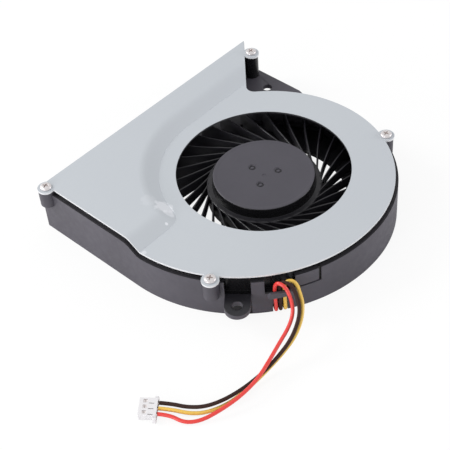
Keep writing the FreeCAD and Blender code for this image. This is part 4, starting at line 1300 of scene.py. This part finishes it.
    def build_hook(self) -> Piece:
        """Build the hook that the wires loop over.

        Returns:
            The hook.
        """
        low, high, long = self.hook_low, self.hook_high, self.hook_long
        gap, thick, radius, inset = self.hook_gap, self.hook_thick, (high - low) / 2, 0.01
        mesh = bmesh.new()
        side = arc((-long / 2 + radius, low + radius), radius, 270.0, 90.0, 12.0)
        side = [(long / 2, low), (long / 2, high), *reversed(side)]
        near = [mesh.verts.new((*self.at_wall(gap, a, self.lead_turn), z)) for a, z in side]
        far = [mesh.verts.new((*self.at_wall(gap + thick, a, self.lead_turn), z)) for a, z in side]
        mesh.faces.new(near)
        mesh.faces.new(list(reversed(far)))
        for i in range(len(side)):
            j = (i + 1) % len(side)
            mesh.faces.new((near[j], near[i], far[i], far[j]))
        add_prism(mesh, self.plank(self.lead_turn, self.hook_root, gap + thick - inset,
                                   long / 2 - thick, long / 2 - inset), low + inset, high - inset)
        bmesh.ops.recalc_face_normals(mesh, faces=mesh.faces)
        return rounded(to_object("lead_hook", mesh, BLACK_MOULDING), 0.14, 3, 50.0)

    def build_frame(self) -> Piece:
        """Build the walls with all that stands on them.

        Returns:
            The piece, in place of its CAD node.
        """
        piece = join("housing_frame", [self.build_wall(), self.build_bosses(), self.build_ear(),
                                       self.build_flange(), self.build_hook()])
        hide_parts("base_housing")
        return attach(piece, HOUSING)

    def build_plate(self) -> Piece:
        """Build the plate that closes the walls below.

        Returns:
            The piece, in place of its CAD node.
        """
        piece = join("floor_plate", [self.build_floor(), self.build_channel(), self.build_seat()])
        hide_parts("base_plate")
        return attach(piece, HOUSING)


def join(name: str, pieces: Sequence[Piece]) -> Piece:
    """Put several objects' meshes into one object, with the shading and finishes that they have.

    Args:
        name: the new object's name.
        pieces: the objects, which are removed.

    Returns:
        The new object.
    """
    first = pieces[0]
    with bpy.context.temp_override(active_object=first, selected_editable_objects=list(pieces)):
        bpy.ops.object.join()
    first.name = name
    first.data.name = name
    return first


# Geometry Nodes


class ShapeTree(Graph):
    """Geometry Nodes tree with named inputs, which is run on an object."""

    def __init__(self, name: str) -> None:
        """Start a tree with a geometry input and output.

        Args:
            name: the tree's name.
        """
        super().__init__(bpy.data.node_groups.new(name, "GeometryNodeTree"))
        for way in ("INPUT", "OUTPUT"):
            self.tree.interface.new_socket("Geometry", in_out=way, socket_type="NodeSocketGeometry")
        self.entry = self.node("NodeGroupInput")
        self.values: dict[str, object] = {}

    def given(self, name: str, value: object, kind: str = "Float") -> Socket:
        """Add a named input.

        Args:
            name: its name.
            value: the value that the tree is run with.
            kind: its socket type.

        Returns:
            The input as a source.
        """
        socket = self.tree.interface.new_socket(name, in_out="INPUT", socket_type=f"NodeSocket{kind}")
        self.values[socket.identifier] = value
        return self.entry.outputs[name]

    def length(self, x: Socket, y: Socket) -> Socket:
        """Length of a vector in plan."""
        return self.math("SQRT", self.math("ADD", self.math("MULTIPLY", x, x),
                                           self.math("MULTIPLY", y, y)))

    def finish(self, shape: Socket, finish: Finish, first_only: bool = False) -> None:
        """Realize the instances, set the material and end the tree.

        Args:
            shape: the geometry.
            finish: the finish that it gets.
            first_only: whether only faces in the first material slot get it.
        """
        real = self.node("GeometryNodeRealizeInstances", {"Geometry": shape})
        paint = self.node("GeometryNodeSetMaterial", {"Geometry": real.outputs["Geometry"],
                                                      "Material": finish.material()})
        if first_only:
            slot = self.node("GeometryNodeInputMaterialIndex").outputs[0]
            self.fill(paint, {"Selection": self.math("LESS_THAN", slot, 0.5)})
        self.node("NodeGroupOutput", {0: paint.outputs["Geometry"]})

    def run(self, piece: Piece) -> Piece:
        """Give the tree to an object and keep its result as a plain mesh.

        Args:
            piece: the object.

        Returns:
            The same object.
        """
        modifier = piece.modifiers.new(self.tree.name, "NODES")
        modifier.node_group = self.tree
        for identifier, value in self.values.items():
            modifier[identifier] = value
        return bake(piece)


# Impeller


@dataclass
class Impeller:
    """Moulded hub with its ring of nearly straight, leaning blades."""

    count: int = 31
    root: float = 14.1
    tip: float = 28.6
    bottom: float = 3.0
    first_turn: float = 3.0
    sweep: float = 39.5
    bulge: float = 0.548
    thickness: float = 0.55
    draft: float = 0.38
    crest: tuple[Plan, ...] = ((14.6, 7.6), (17.5, 7.95), (22.0, 8.2), (25.0, 8.5), (28.6, 9.2))
    foot: tuple[Plan, ...] = ((22.0, 5.2), (25.0, 3.0))
    blade_steps: tuple[int, int, int] = (36, 2, 3)
    blade_rounding: float = 0.05
    hub_radius: float = 13.2
    hub_top: float = 10.4
    hub_inside: float = 12.3
    hub_wall: float = 1.1
    bore: float = 1.0
    shoulder: float = 0.38
    face_rim: float = 1.3
    face_drop: float = 0.06
    skirt: float = 14.6
    skirt_top: float = 7.6
    skirt_rounding: float = 0.4
    gate_turns: tuple[float, ...] = (89.5, 209.5, 329.5)
    gate_reach: float = 3.85
    gate_profile: tuple[Plan, ...] = ((0.0, -0.15), (0.36, -0.18), (0.5, -0.42), (0.84, -0.42),
                                      (1.0, -0.12), (1.14, -0.1), (1.2, 0.5), (0.0, 0.5))
    centre_mark: Plan = (-0.3, -0.45)
    centre_profile: tuple[Plan, ...] = ((0.0, -0.16), (0.5, -0.14), (0.58, 0.5), (0.0, 0.5))
    ring_profile: tuple[Plan, ...] = ((27.5, 3.0), (28.5, 3.0), (28.5, 3.8), (27.5, 3.8))

    def blades(self) -> Piece:
        """Blades made by a tree from one bowed block that is repeated round the axis.

        Returns:
            The blades as one plain mesh.
        """
        tree = ShapeTree("blade_ring")
        sizes = {"Root Radius": self.root * MM, "Tip Radius": self.tip * MM,
                 "First Turn": math.radians(self.first_turn), "Sweep": math.radians(self.sweep),
                 "Bulge": self.bulge * MM, "Thickness": self.thickness * MM, "Draft": self.draft}
        count = tree.given("Count", self.count, "Int")
        root, tip, first, sweep, bulge, thickness, draft = (
            tree.given(name, value) for name, value in sizes.items())
        crest, foot = (
            [(tree.given(f"{name} Radius {i}", radius * MM), tree.given(f"{name} {i}", level * MM))
             for i, (radius, level) in enumerate(line, 1)]
            for name, line in (("Crest", self.crest), ("Foot", self.foot)))

        steps = {f"Vertices {axis}": number for axis, number in zip("XYZ", self.blade_steps)}
        block = tree.node("GeometryNodeMeshCube", {"Size": (1, 1, 1), **steps})
        where = tree.node("GeometryNodeInputPosition").outputs[0]
        across = tree.node("ShaderNodeSeparateXYZ", {0: where}).outputs
        along = tree.math("ADD", across["X"], 0.5)
        up = tree.math("ADD", across["Z"], 0.5)
        last = tree.math("ADD", first, sweep)
        starts = [tree.math("MULTIPLY", root, tree.math(wave, first)) for wave in ("COSINE", "SINE")]
        ends = [tree.math("MULTIPLY", tip, tree.math(wave, last)) for wave in ("COSINE", "SINE")]
        runs = [tree.math("SUBTRACT", end, start) for start, end in zip(starts, ends)]
        arch = tree.math("MULTIPLY", tree.math("MULTIPLY", along, tree.math("SUBTRACT", 1.0, along)),
                         4.0)
        narrowing = tree.math("SUBTRACT", 1.0, tree.math("MULTIPLY", draft, up))
        width = tree.math("MULTIPLY", thickness, narrowing)
        aside = tree.math("MULTIPLY_ADD", across["Y"], width, tree.math("MULTIPLY", arch, bulge))
        lean = tree.math("DIVIDE", aside, tree.length(*runs))
        x = tree.math("SUBTRACT", tree.math("MULTIPLY_ADD", along, runs[0], starts[0]),
                      tree.math("MULTIPLY", lean, runs[1]))
        y = tree.math("ADD", tree.math("MULTIPLY_ADD", along, runs[1], starts[1]),
                      tree.math("MULTIPLY", lean, runs[0]))
        radius = tree.length(x, y)
        top, bottom = (self._level(tree, radius, line) for line in (crest, foot))
        height = tree.math("MULTIPLY_ADD", up, tree.math("SUBTRACT", top, bottom), bottom)
        spot = tree.node("ShaderNodeCombineXYZ", {0: x, 1: y, 2: height})
        blade = tree.node("GeometryNodeSetPosition", {"Geometry": block.outputs["Mesh"],
                                                      "Position": spot.outputs[0]})

        line = tree.node("GeometryNodeMeshLine", {"Offset": (0, 0, 0), "Count": count}, mode="OFFSET")
        index = tree.node("GeometryNodeInputIndex").outputs[0]
        turn = tree.math("MULTIPLY", index, tree.math("DIVIDE", math.tau, count))
        ring = tree.node("GeometryNodeInstanceOnPoints", {
            "Points": line.outputs["Mesh"], "Instance": blade.outputs["Geometry"],
            "Rotation": tree.node("ShaderNodeCombineXYZ", {2: turn}).outputs[0]})
        tree.finish(ring.outputs["Instances"], IMPELLER_MOULDING)
        carrier = bpy.data.objects.new("impeller_blades", bpy.data.meshes.new("impeller_blades"))
        bpy.context.scene.collection.objects.link(carrier)
        return rounded(tree.run(carrier), self.blade_rounding, 1, 50.0)

    @staticmethod
    def _level(tree: ShapeTree, radius: Socket,
               line: Sequence[tuple[Socket, Socket]]) -> Socket:
        """Height at a radius on a line of (radius, height) points.

        Args:
            tree: the tree that gets the nodes.
            radius: the radius.
            line: the points.

        Returns:
            The height.
        """
        level = line[0][1]
        for (near, start), (far, end) in zip(line, line[1:]):
            share = tree.math("DIVIDE", tree.math("SUBTRACT", radius, near),
                              tree.math("SUBTRACT", far, near), clamp=True)
            level = tree.math("MULTIPLY_ADD", share, tree.math("SUBTRACT", end, start), level)
        return level

    def hub(self) -> Piece:
        """Hub with its rounded shoulder, skirt and gate marks.

        Returns:
            The hub as one plain mesh.
        """
        r, top, low = self.hub_radius, self.hub_top, self.skirt_top
        inside, edge = top - self.hub_wall, r - 0.25 - self.shoulder
        face, rim = top - self.face_drop, r - self.face_rim
        turned = self.skirt_rounding
        profile: list[Plan] = [(self.hub_inside, inside), (self.hub_inside, self.bottom),
                               (self.skirt, self.bottom)]
        profile += arc((self.skirt - turned, low - turned), turned, 0.0, 90.0, 15.0)
        profile += [(r + 0.2, low), (r + 0.04, low + 0.06), (r, low + 0.2)]
        profile += arc((edge, top - self.shoulder), self.shoulder, 4.0, 90.0, 9.0)
        profile += [(rim, top), (rim - 0.12, face), (6.0, face), (0.0, face), (0.0, top - 0.5),
                    (self.bore, top - 0.5), (self.bore, inside)]
        mesh = bmesh.new()
        add_lathe(mesh, profile, 128)
        for piece in mesh.faces:
            level = piece.calc_center_median().z
            piece.material_index = 1 if level > top - 0.12 else 2 * int(level > low + 0.1)
        hub = to_object("impeller_hub", mesh, IMPELLER_MOULDING, second=IMPELLER_FACE,
                        third=GLOSS_BLACK_AND_SHADE)
        mesh = bmesh.new()
        for turn in self.gate_turns:
            x, y = arc((0.0, 0.0), self.gate_reach, turn, turn)[0]
            add_lathe(mesh, self.gate_profile, 32, x, y, top)
        add_lathe(mesh, self.centre_profile, 32, *self.centre_mark, top)
        # the marks' deep floors get the darker moulding as painted shade; their shallow slopes get the
        # lighter face
        for piece in mesh.faces:
            piece.material_index = int(piece.calc_center_median().z > top - 0.35)
        return carve(hub, to_object("gate_marks", mesh, IMPELLER_MOULDING, second=IMPELLER_FACE))

    def tip_ring(self) -> Piece:
        """Thin ring under the blades' tips.

        Returns:
            The ring.
        """
        mesh = bmesh.new()
        add_lathe(mesh, self.ring_profile, 160)
        return to_object("tip_ring", mesh, IMPELLER_MOULDING)

    def build(self) -> Piece:
        """Build the impeller.

        Returns:
            The piece, in place of its CAD node.
        """
        piece = join("impeller_moulding", [self.hub(), self.blades(), self.tip_ring()])
        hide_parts("impeller")
        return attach(piece, ROTOR)


# Screws


@dataclass
class CoverScrews:
    """Four small cross-recess screws."""

    shank: float = 0.8
    length: float = 3.4
    head: float = 1.42
    height: float = 0.75
    dome: tuple[Plan, ...] = ((1.0, 0.5), (0.95, 0.68), (0.82, 0.84), (0.62, 0.95), (0.4, 1.0),
                              (0.0, 1.0))
    slot: Plan = (0.92, 0.2)
    slot_foot: float = 0.62
    slot_depth: float = 0.3
    turns: tuple[float, ...] = (20.0, -2.0, 5.0, 33.0)

    def one(self) -> Piece:
        """One screw that stands on the origin.

        Returns:
            The screw.
        """
        r, h = self.head, self.height
        profile: list[Plan] = [(0.0, -self.length), (self.shank - 0.2, -self.length),
                               (self.shank, 0.3 - self.length), (self.shank, 0.0), (r - 0.08, 0.0),
                               (r, 0.1), *((r * out, h * up) for out, up in self.dome)]
        mesh = bmesh.new()
        add_lathe(mesh, profile, 48)
        screw = to_object("cover_screw", mesh, NICKEL, second=RECESS)
        for length, width in (self.slot, self.slot[::-1]):
            mesh = bmesh.new()
            bmesh.ops.create_cube(mesh, size=2.0)
            for vert in mesh.verts:
                low = vert.co.z < 0
                share = self.slot_foot if low else 1.0
                vert.co = (vert.co.x * length * share, vert.co.y * width * share,
                           h - self.slot_depth if low else h + 0.3)
            # the recess's faces get the painted shade
            for face in mesh.faces:
                face.material_index = 1
            carve(screw, to_object("recess_slot", mesh, NICKEL, second=RECESS))
        return screw

    def build(self) -> Piece:
        """Repeat the screw at its four places, each turned its own way.

        Returns:
            The piece, in place of its CAD node.
        """
        tree = ShapeTree("screw_set")
        gather = tree.node("GeometryNodeJoinGeometry")
        for index, (spot, turn) in enumerate(zip(SCREW_SPOTS, self.turns), 1):
            place = (spot.x * MM, spot.y * MM, spot.level * MM)
            move = tree.node("GeometryNodeTransform", {
                "Geometry": tree.entry.outputs["Geometry"],
                "Translation": tree.given(f"Place {index}", place, "Vector"),
                "Rotation": tree.given(f"Turn {index}", (0.0, 0.0, math.radians(turn)), "Vector")})
            tree.fill(gather, {0: move.outputs["Geometry"]})
        tree.finish(gather.outputs[0], NICKEL, first_only=True)
        piece = tree.run(self.one())
        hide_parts("cover_screws")
        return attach(piece, HOUSING)


# Connector


@dataclass
class Connector:
    """White plug with three contacts."""

    x: float = -64.2
    y: float = -25.15
    turn: float = 128.0
    back: float = 0.2
    length: float = 4.3
    width: float = 4.7
    height: float = 1.85
    ear: float = 0.9
    ear_length: float = 0.8
    ear_share: float = 0.7
    pitch: float = 1.5
    cavity: float = 1.1
    cavity_low: float = 0.6
    window: tuple[Plan, Plan] = ((2.5, 3.4), (-0.46, 0.42))
    window_low: float = 1.5
    key: tuple[Plan, Plan] = ((0.95, 2.1), (0.5, 0.72))
    key_low: float = 1.2
    contact: Plan = (0.02, 3.88)
    contact_level: Plan = (0.67, 1.63)
    contact_floor: tuple[Plan, Plan] = ((-0.32, 0.32), (0.67, 0.8))
    cheeks: tuple[Plan, Plan] = ((-0.48, -0.3), (0.3, 0.48))
    plates: tuple[Plan, Plan] = ((1.2, 2.88), (3.0, 3.88))
    plate_width: Plan = (-0.5, 0.5)
    plate_level: Plan = (1.56, 1.68)

    @property
    def lanes(self) -> list[float]:
        """Distances aside of the three contacts."""
        return [self.pitch * index for index in (-1, 0, 1)]

    def at(self, forward: float, aside: float) -> Plan:
        """Point forward from the wire side and aside of the middle."""
        c, s = math.cos(math.radians(self.turn)), math.sin(math.radians(self.turn))
        return self.x + forward * c - aside * s, self.y + forward * s + aside * c

    def block(self, mesh: Mesh, forward: Plan, aside: Plan, level: Plan,
              lane: float = 0.0) -> Mesh:
        """Add a block between two distances forward, aside of a lane and up.

        Args:
            mesh: the mesh that gets the block.
            forward: its reach from the wire side.
            aside: its reach across.
            level: its underside and top.
            lane: the lane's distance aside of the middle.

        Returns:
            The mesh.
        """
        left, right = lane + aside[0], lane + aside[1]
        add_prism(mesh, [self.at(forward[0], left), self.at(forward[1], left),
                         self.at(forward[1], right), self.at(forward[0], right)], *level)
        return mesh

    def shell(self) -> Piece:
        """Housing of the plug.

        Returns:
            The piece, in place of its CAD node.
        """
        half, room, above, overlap = self.width / 2, self.cavity / 2, 3.5, 0.2
        mesh = self.block(bmesh.new(), (self.back, self.length), (-half, half), (0.0, self.height))
        body = to_object("plug_body", mesh, WHITE_NYLON)
        cuts = (((-1.0, self.length + 1), (-room, room),
                 (self.cavity_low, self.cavity_low + self.cavity)),
                (*self.window, (self.window_low, above)), (*self.key, (self.key_low, above)))
        for lane in self.lanes:
            for cut in cuts:
                carve(body, to_object("plug_cut", self.block(bmesh.new(), *cut, lane), WHITE_NYLON))
        rounded(body, 0.08, 2, 50.0)
        mesh = bmesh.new()
        for edges in ((-half - self.ear, overlap - half), (half - overlap, half + self.ear)):
            self.block(mesh, (self.back, self.back + self.ear_length), edges,
                       (0.0, self.height * self.ear_share))
        ears = rounded(to_object("plug_ears", mesh, WHITE_NYLON), 0.1, 2, 50.0)
        piece = join("plug_shell", [body, ears])
        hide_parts("connector_housing")
        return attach(piece, HOUSING)

    def contacts(self) -> Piece:
        """Three crimped contacts in the plug.

        Returns:
            The piece, in place of its CAD node.
        """
        mesh = bmesh.new()
        for lane in self.lanes:
            for cheek in self.cheeks:
                self.block(mesh, self.contact, cheek, self.contact_level, lane)
            self.block(mesh, self.contact, *self.contact_floor, lane)
            for plate in self.plates:
                self.block(mesh, plate, self.plate_width, self.plate_level, lane)
        piece = rounded(to_object("plug_contacts", mesh, TIN_PLATE), 0.04, 1, 50.0)
        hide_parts("crimp_terminals")
        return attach(piece, HOUSING)


# Leads


class Lead(Enum):
    """The three leads: name, CAD node, slot, finish and route in millimetres."""

    RED = ("lead_red", "wire_red", "red_insulation", RED_LEAD, (
        (-12.53, -7.96, 0.6), (-16.46, -13.51, 0.6), (-21.52, -20.1, 0.6), (-24.54, -24.33, 0.6),
        (-26.15, -26.52, 0.6), (-26.19, -26.49, 3.3), (-26.34, -26.43, 7.2), (-26.3, -26.46, 9.6),
        (-26.12, -27.14, 11.0), (-25.88, -28.68, 11.1), (-25.63, -29.86, 9.7), (-26.7, -32.0, 8.4),
        (-28.5, -33.8, 7.2), (-31.6, -35.0, 6.0), (-35.6, -35.7, 5.0), (-40.3, -36.8, 4.2),
        (-45.4, -37.8, 3.4), (-50.8, -37.6, 2.6), (-55.6, -36.3, 1.6), (-60.2, -34.4, 0.6),
        (-63.0, -31.8, 0.5), (-63.82, -28.3, 1.1), (-65.43, -26.01, 1.15)))
    BLACK = ("lead_black", "wire_black", "black_insulation", BLACK_LEAD, (
        (-11.65, -8.61, 0.6), (-15.58, -14.16, 0.6), (-20.63, -20.75, 0.6), (-23.65, -24.98, 0.6),
        (-25.27, -27.17, 0.6), (-25.31, -27.14, 3.3), (-25.41, -27.11, 7.2), (-25.37, -27.14, 9.6),
        (-25.09, -27.77, 10.95), (-24.66, -29.21, 11.0), (-24.21, -30.29, 9.9), (-25.1, -32.1, 9.0),
        (-26.8, -34.4, 8.15), (-29.5, -36.1, 6.95), (-33.3, -37.1, 5.0), (-37.5, -37.2, 3.6),
        (-42.2, -37.1, 2.6), (-47.6, -36.5, 2.0), (-53.0, -35.2, 1.7), (-57.3, -32.9, 1.3),
        (-59.8, -29.6, 0.9), (-61.37, -26.58, 1.1), (-62.97, -24.29, 1.15)))
    YELLOW = ("lead_yellow", "wire_yellow", "yellow_insulation", YELLOW_LEAD, (
        (-10.76, -9.27, 0.6), (-14.69, -14.82, 0.6), (-19.75, -21.4, 0.6), (-22.77, -25.64, 0.6),
        (-24.38, -27.82, 0.6), (-24.42, -27.79, 3.3), (-24.53, -27.77, 7.2), (-24.49, -27.8, 9.5),
        (-24.12, -28.31, 10.7), (-23.22, -29.28, 10.8), (-22.79, -30.22, 9.7), (-23.6, -31.6, 9.0),
        (-25.02, -33.81, 7.8), (-27.82, -35.81, 6.4), (-31.6, -37.0, 4.6), (-35.6, -37.0, 2.9),
        (-40.7, -36.7, 1.4), (-46.6, -36.4, 0.6), (-52.7, -35.9, 0.46), (-57.4, -34.0, 0.46),
        (-60.3, -31.4, 0.55), (-62.59, -27.44, 1.1), (-64.2, -25.15, 1.15)))


@dataclass
class Harness:
    """The leads, each a smooth line through its route's control points."""

    diameter: float = 0.9
    length: float = 0.0855

    def lead(self, kind: Lead, pieces: Sequence[Piece]) -> Piece:
        """Lay one lead.

        Args:
            kind: which lead.
            pieces: the pieces on its far end; not used.

        Returns:
            The lead, in place of its CAD node.
        """
        name, node, slot, finish, route = kind.value
        curve = bpy.data.curves.new(name, "CURVE")
        curve.dimensions = "3D"
        curve.bevel_depth = self.diameter / 2 * MM
        curve.bevel_resolution = 5
        curve.resolution_u = 10
        curve.use_fill_caps = True
        line = curve.splines.new("NURBS")
        line.points.add(len(route) - 1)
        for point, spot in zip(line.points, route):
            point.co = (*(v * MM for v in spot), 1.0)
        line.order_u = 3
        line.use_endpoint_u = True
        curve.materials.append(finish.material())
        piece = bpy.data.objects.new(name, curve)
        bpy.context.scene.collection.objects.link(piece)
        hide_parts(node)
        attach(piece, HOUSING)
        return piece

    def build(self, plug: Sequence[Piece]) -> list[Piece]:
        """Lay the three leads, which all end in the plug."""
        return [self.lead(kind, plug) for kind in Lead]


# Studio


@dataclass
class Studio:
    """Camera, lamps and floor."""

    lens: float = 95.32
    place: Point = (-0.15984, -0.15152, 0.21370)
    right: Point = (0.6760, -0.7341, -0.0634)
    up: Point = (0.5519, 0.4474, 0.7038)
    back: Point = (-0.4883, -0.5108, 0.7076)
    lamps: tuple[tuple[str, Point, float, float, Colour], ...] = (
        ("back_lamp", (-0.30, 0.50, 0.42), 0.30, 2.6, (1.0, 1.0, 1.0)),
        ("left_lamp", (-0.60, -0.02, 0.16), 0.25, 1.3, (0.99, 0.97, 1.0)),
        ("right_lamp", (0.45, -0.42, 0.16), 0.25, 1.3, (0.99, 0.97, 1.0)))
    surroundings: float = 0.75
    floor_reach: float = 1500.0
    floor_drop: float = 0.02
    floor_tone: float = 0.9
    floor_glow: float = 0.88

    def camera(self) -> None:
        """Set up the photograph's view."""
        data = bpy.data.cameras.new("camera")
        data.lens = self.lens
        data.sensor_width = 36.0
        data.clip_start = 0.01
        data.clip_end = 20.0
        made = bpy.data.objects.new("camera", data)
        turn = Matrix((self.right, self.up, self.back)).transposed()
        made.matrix_world = Matrix.Translation(self.place) @ turn.to_4x4()
        bpy.context.scene.collection.objects.link(made)
        bpy.context.scene.camera = made

    def lamp(self, name: str, place: Point, size: float, power: float, colour: Colour) -> None:
        """Add a soft lamp that faces the object.

        Args:
            name: the lamp's name.
            place: its place in metres.
            size: its diameter in metres.
            power: its power in watts.
            colour: its colour.
        """
        data = bpy.data.lights.new(name, "AREA")
        data.shape = "DISK"
        data.size = size
        data.energy = power
        data.color = colour
        made = bpy.data.objects.new(name, data)
        made.location = place
        made.rotation_euler = (-Vector(place)).to_track_quat("-Z", "Y").to_euler()
        bpy.context.scene.collection.objects.link(made)

    def world(self) -> None:
        """Even pale surroundings, white where the camera sees them."""
        world = bpy.data.worlds.new("surroundings")
        bpy.context.scene.world = world
        world.use_nodes = True
        graph = Graph(world.node_tree)
        seen = graph.node("ShaderNodeLightPath").outputs["Is Camera Ray"]
        graph.fill(world.node_tree.nodes["Background"], {
            "Strength": graph.mapped(seen, 0.0, 1.0, self.surroundings), "Color": (1.0, 1.0, 1.0, 1.0)})

    def floor(self) -> None:
        """Pale floor that keeps a faint shadow."""
        paint = bpy.data.materials.new("pale_floor")
        paint.use_nodes = True
        paint.node_tree.nodes.clear()
        graph = Graph(paint.node_tree)
        seen = graph.node("ShaderNodeLightPath").outputs["Is Camera Ray"]
        matte = graph.node("ShaderNodeBsdfDiffuse", {"Color": (*[self.floor_tone] * 3, 1.0)})
        blend = graph.node("ShaderNodeMixShader", {
            0: graph.math("MULTIPLY", seen, self.floor_glow), 1: matte.outputs[0],
            2: graph.node("ShaderNodeEmission").outputs[0]})
        graph.node("ShaderNodeOutputMaterial", {"Surface": blend.outputs[0]})
        mesh = bmesh.new()
        bmesh.ops.create_grid(mesh, x_segments=1, y_segments=1, size=self.floor_reach)
        for vert in mesh.verts:
            vert.co.z = -self.floor_drop
        floor = to_object("floor", mesh, WHITE_NYLON)
        floor.data.materials[0] = paint

    def build(self) -> None:
        """Set up the whole studio."""
        bpy.context.scene.view_settings.view_transform = "Standard"
        self.world()
        self.floor()
        for lamp in self.lamps:
            self.lamp(*lamp)


def dress_cad(nodes: dict[str, Piece]) -> None:
    """Give the CAD nodes that stay their finishes.

    Args:
        nodes: object of each CAD node.
    """
    for look in CadLook:
        node, finish = look.value
        data = nodes[node].data
        data.materials.clear()
        data.materials.append(finish.material())
        LOG.info("%s keeps its CAD shape", node)


def main() -> None:
    """Build every piece of the scene in order."""
    logging.basicConfig(level=logging.INFO, format="%(message)s")
    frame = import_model()
    studio = Studio()
    studio.camera()
    connector = Connector()
    plug = [connector.shell(), connector.contacts()]
    housing = Housing()
    pieces = [*plug, *Harness().build(plug), Cover().build(), housing.build_frame(),
              housing.build_plate(), Impeller().build(), CoverScrews().build()]
    dress_cad(frame["nodes"])
    studio.build()
    for piece in pieces:
        LOG.info("%s is in place", piece.name)


if __name__ == "__main__":
    main()
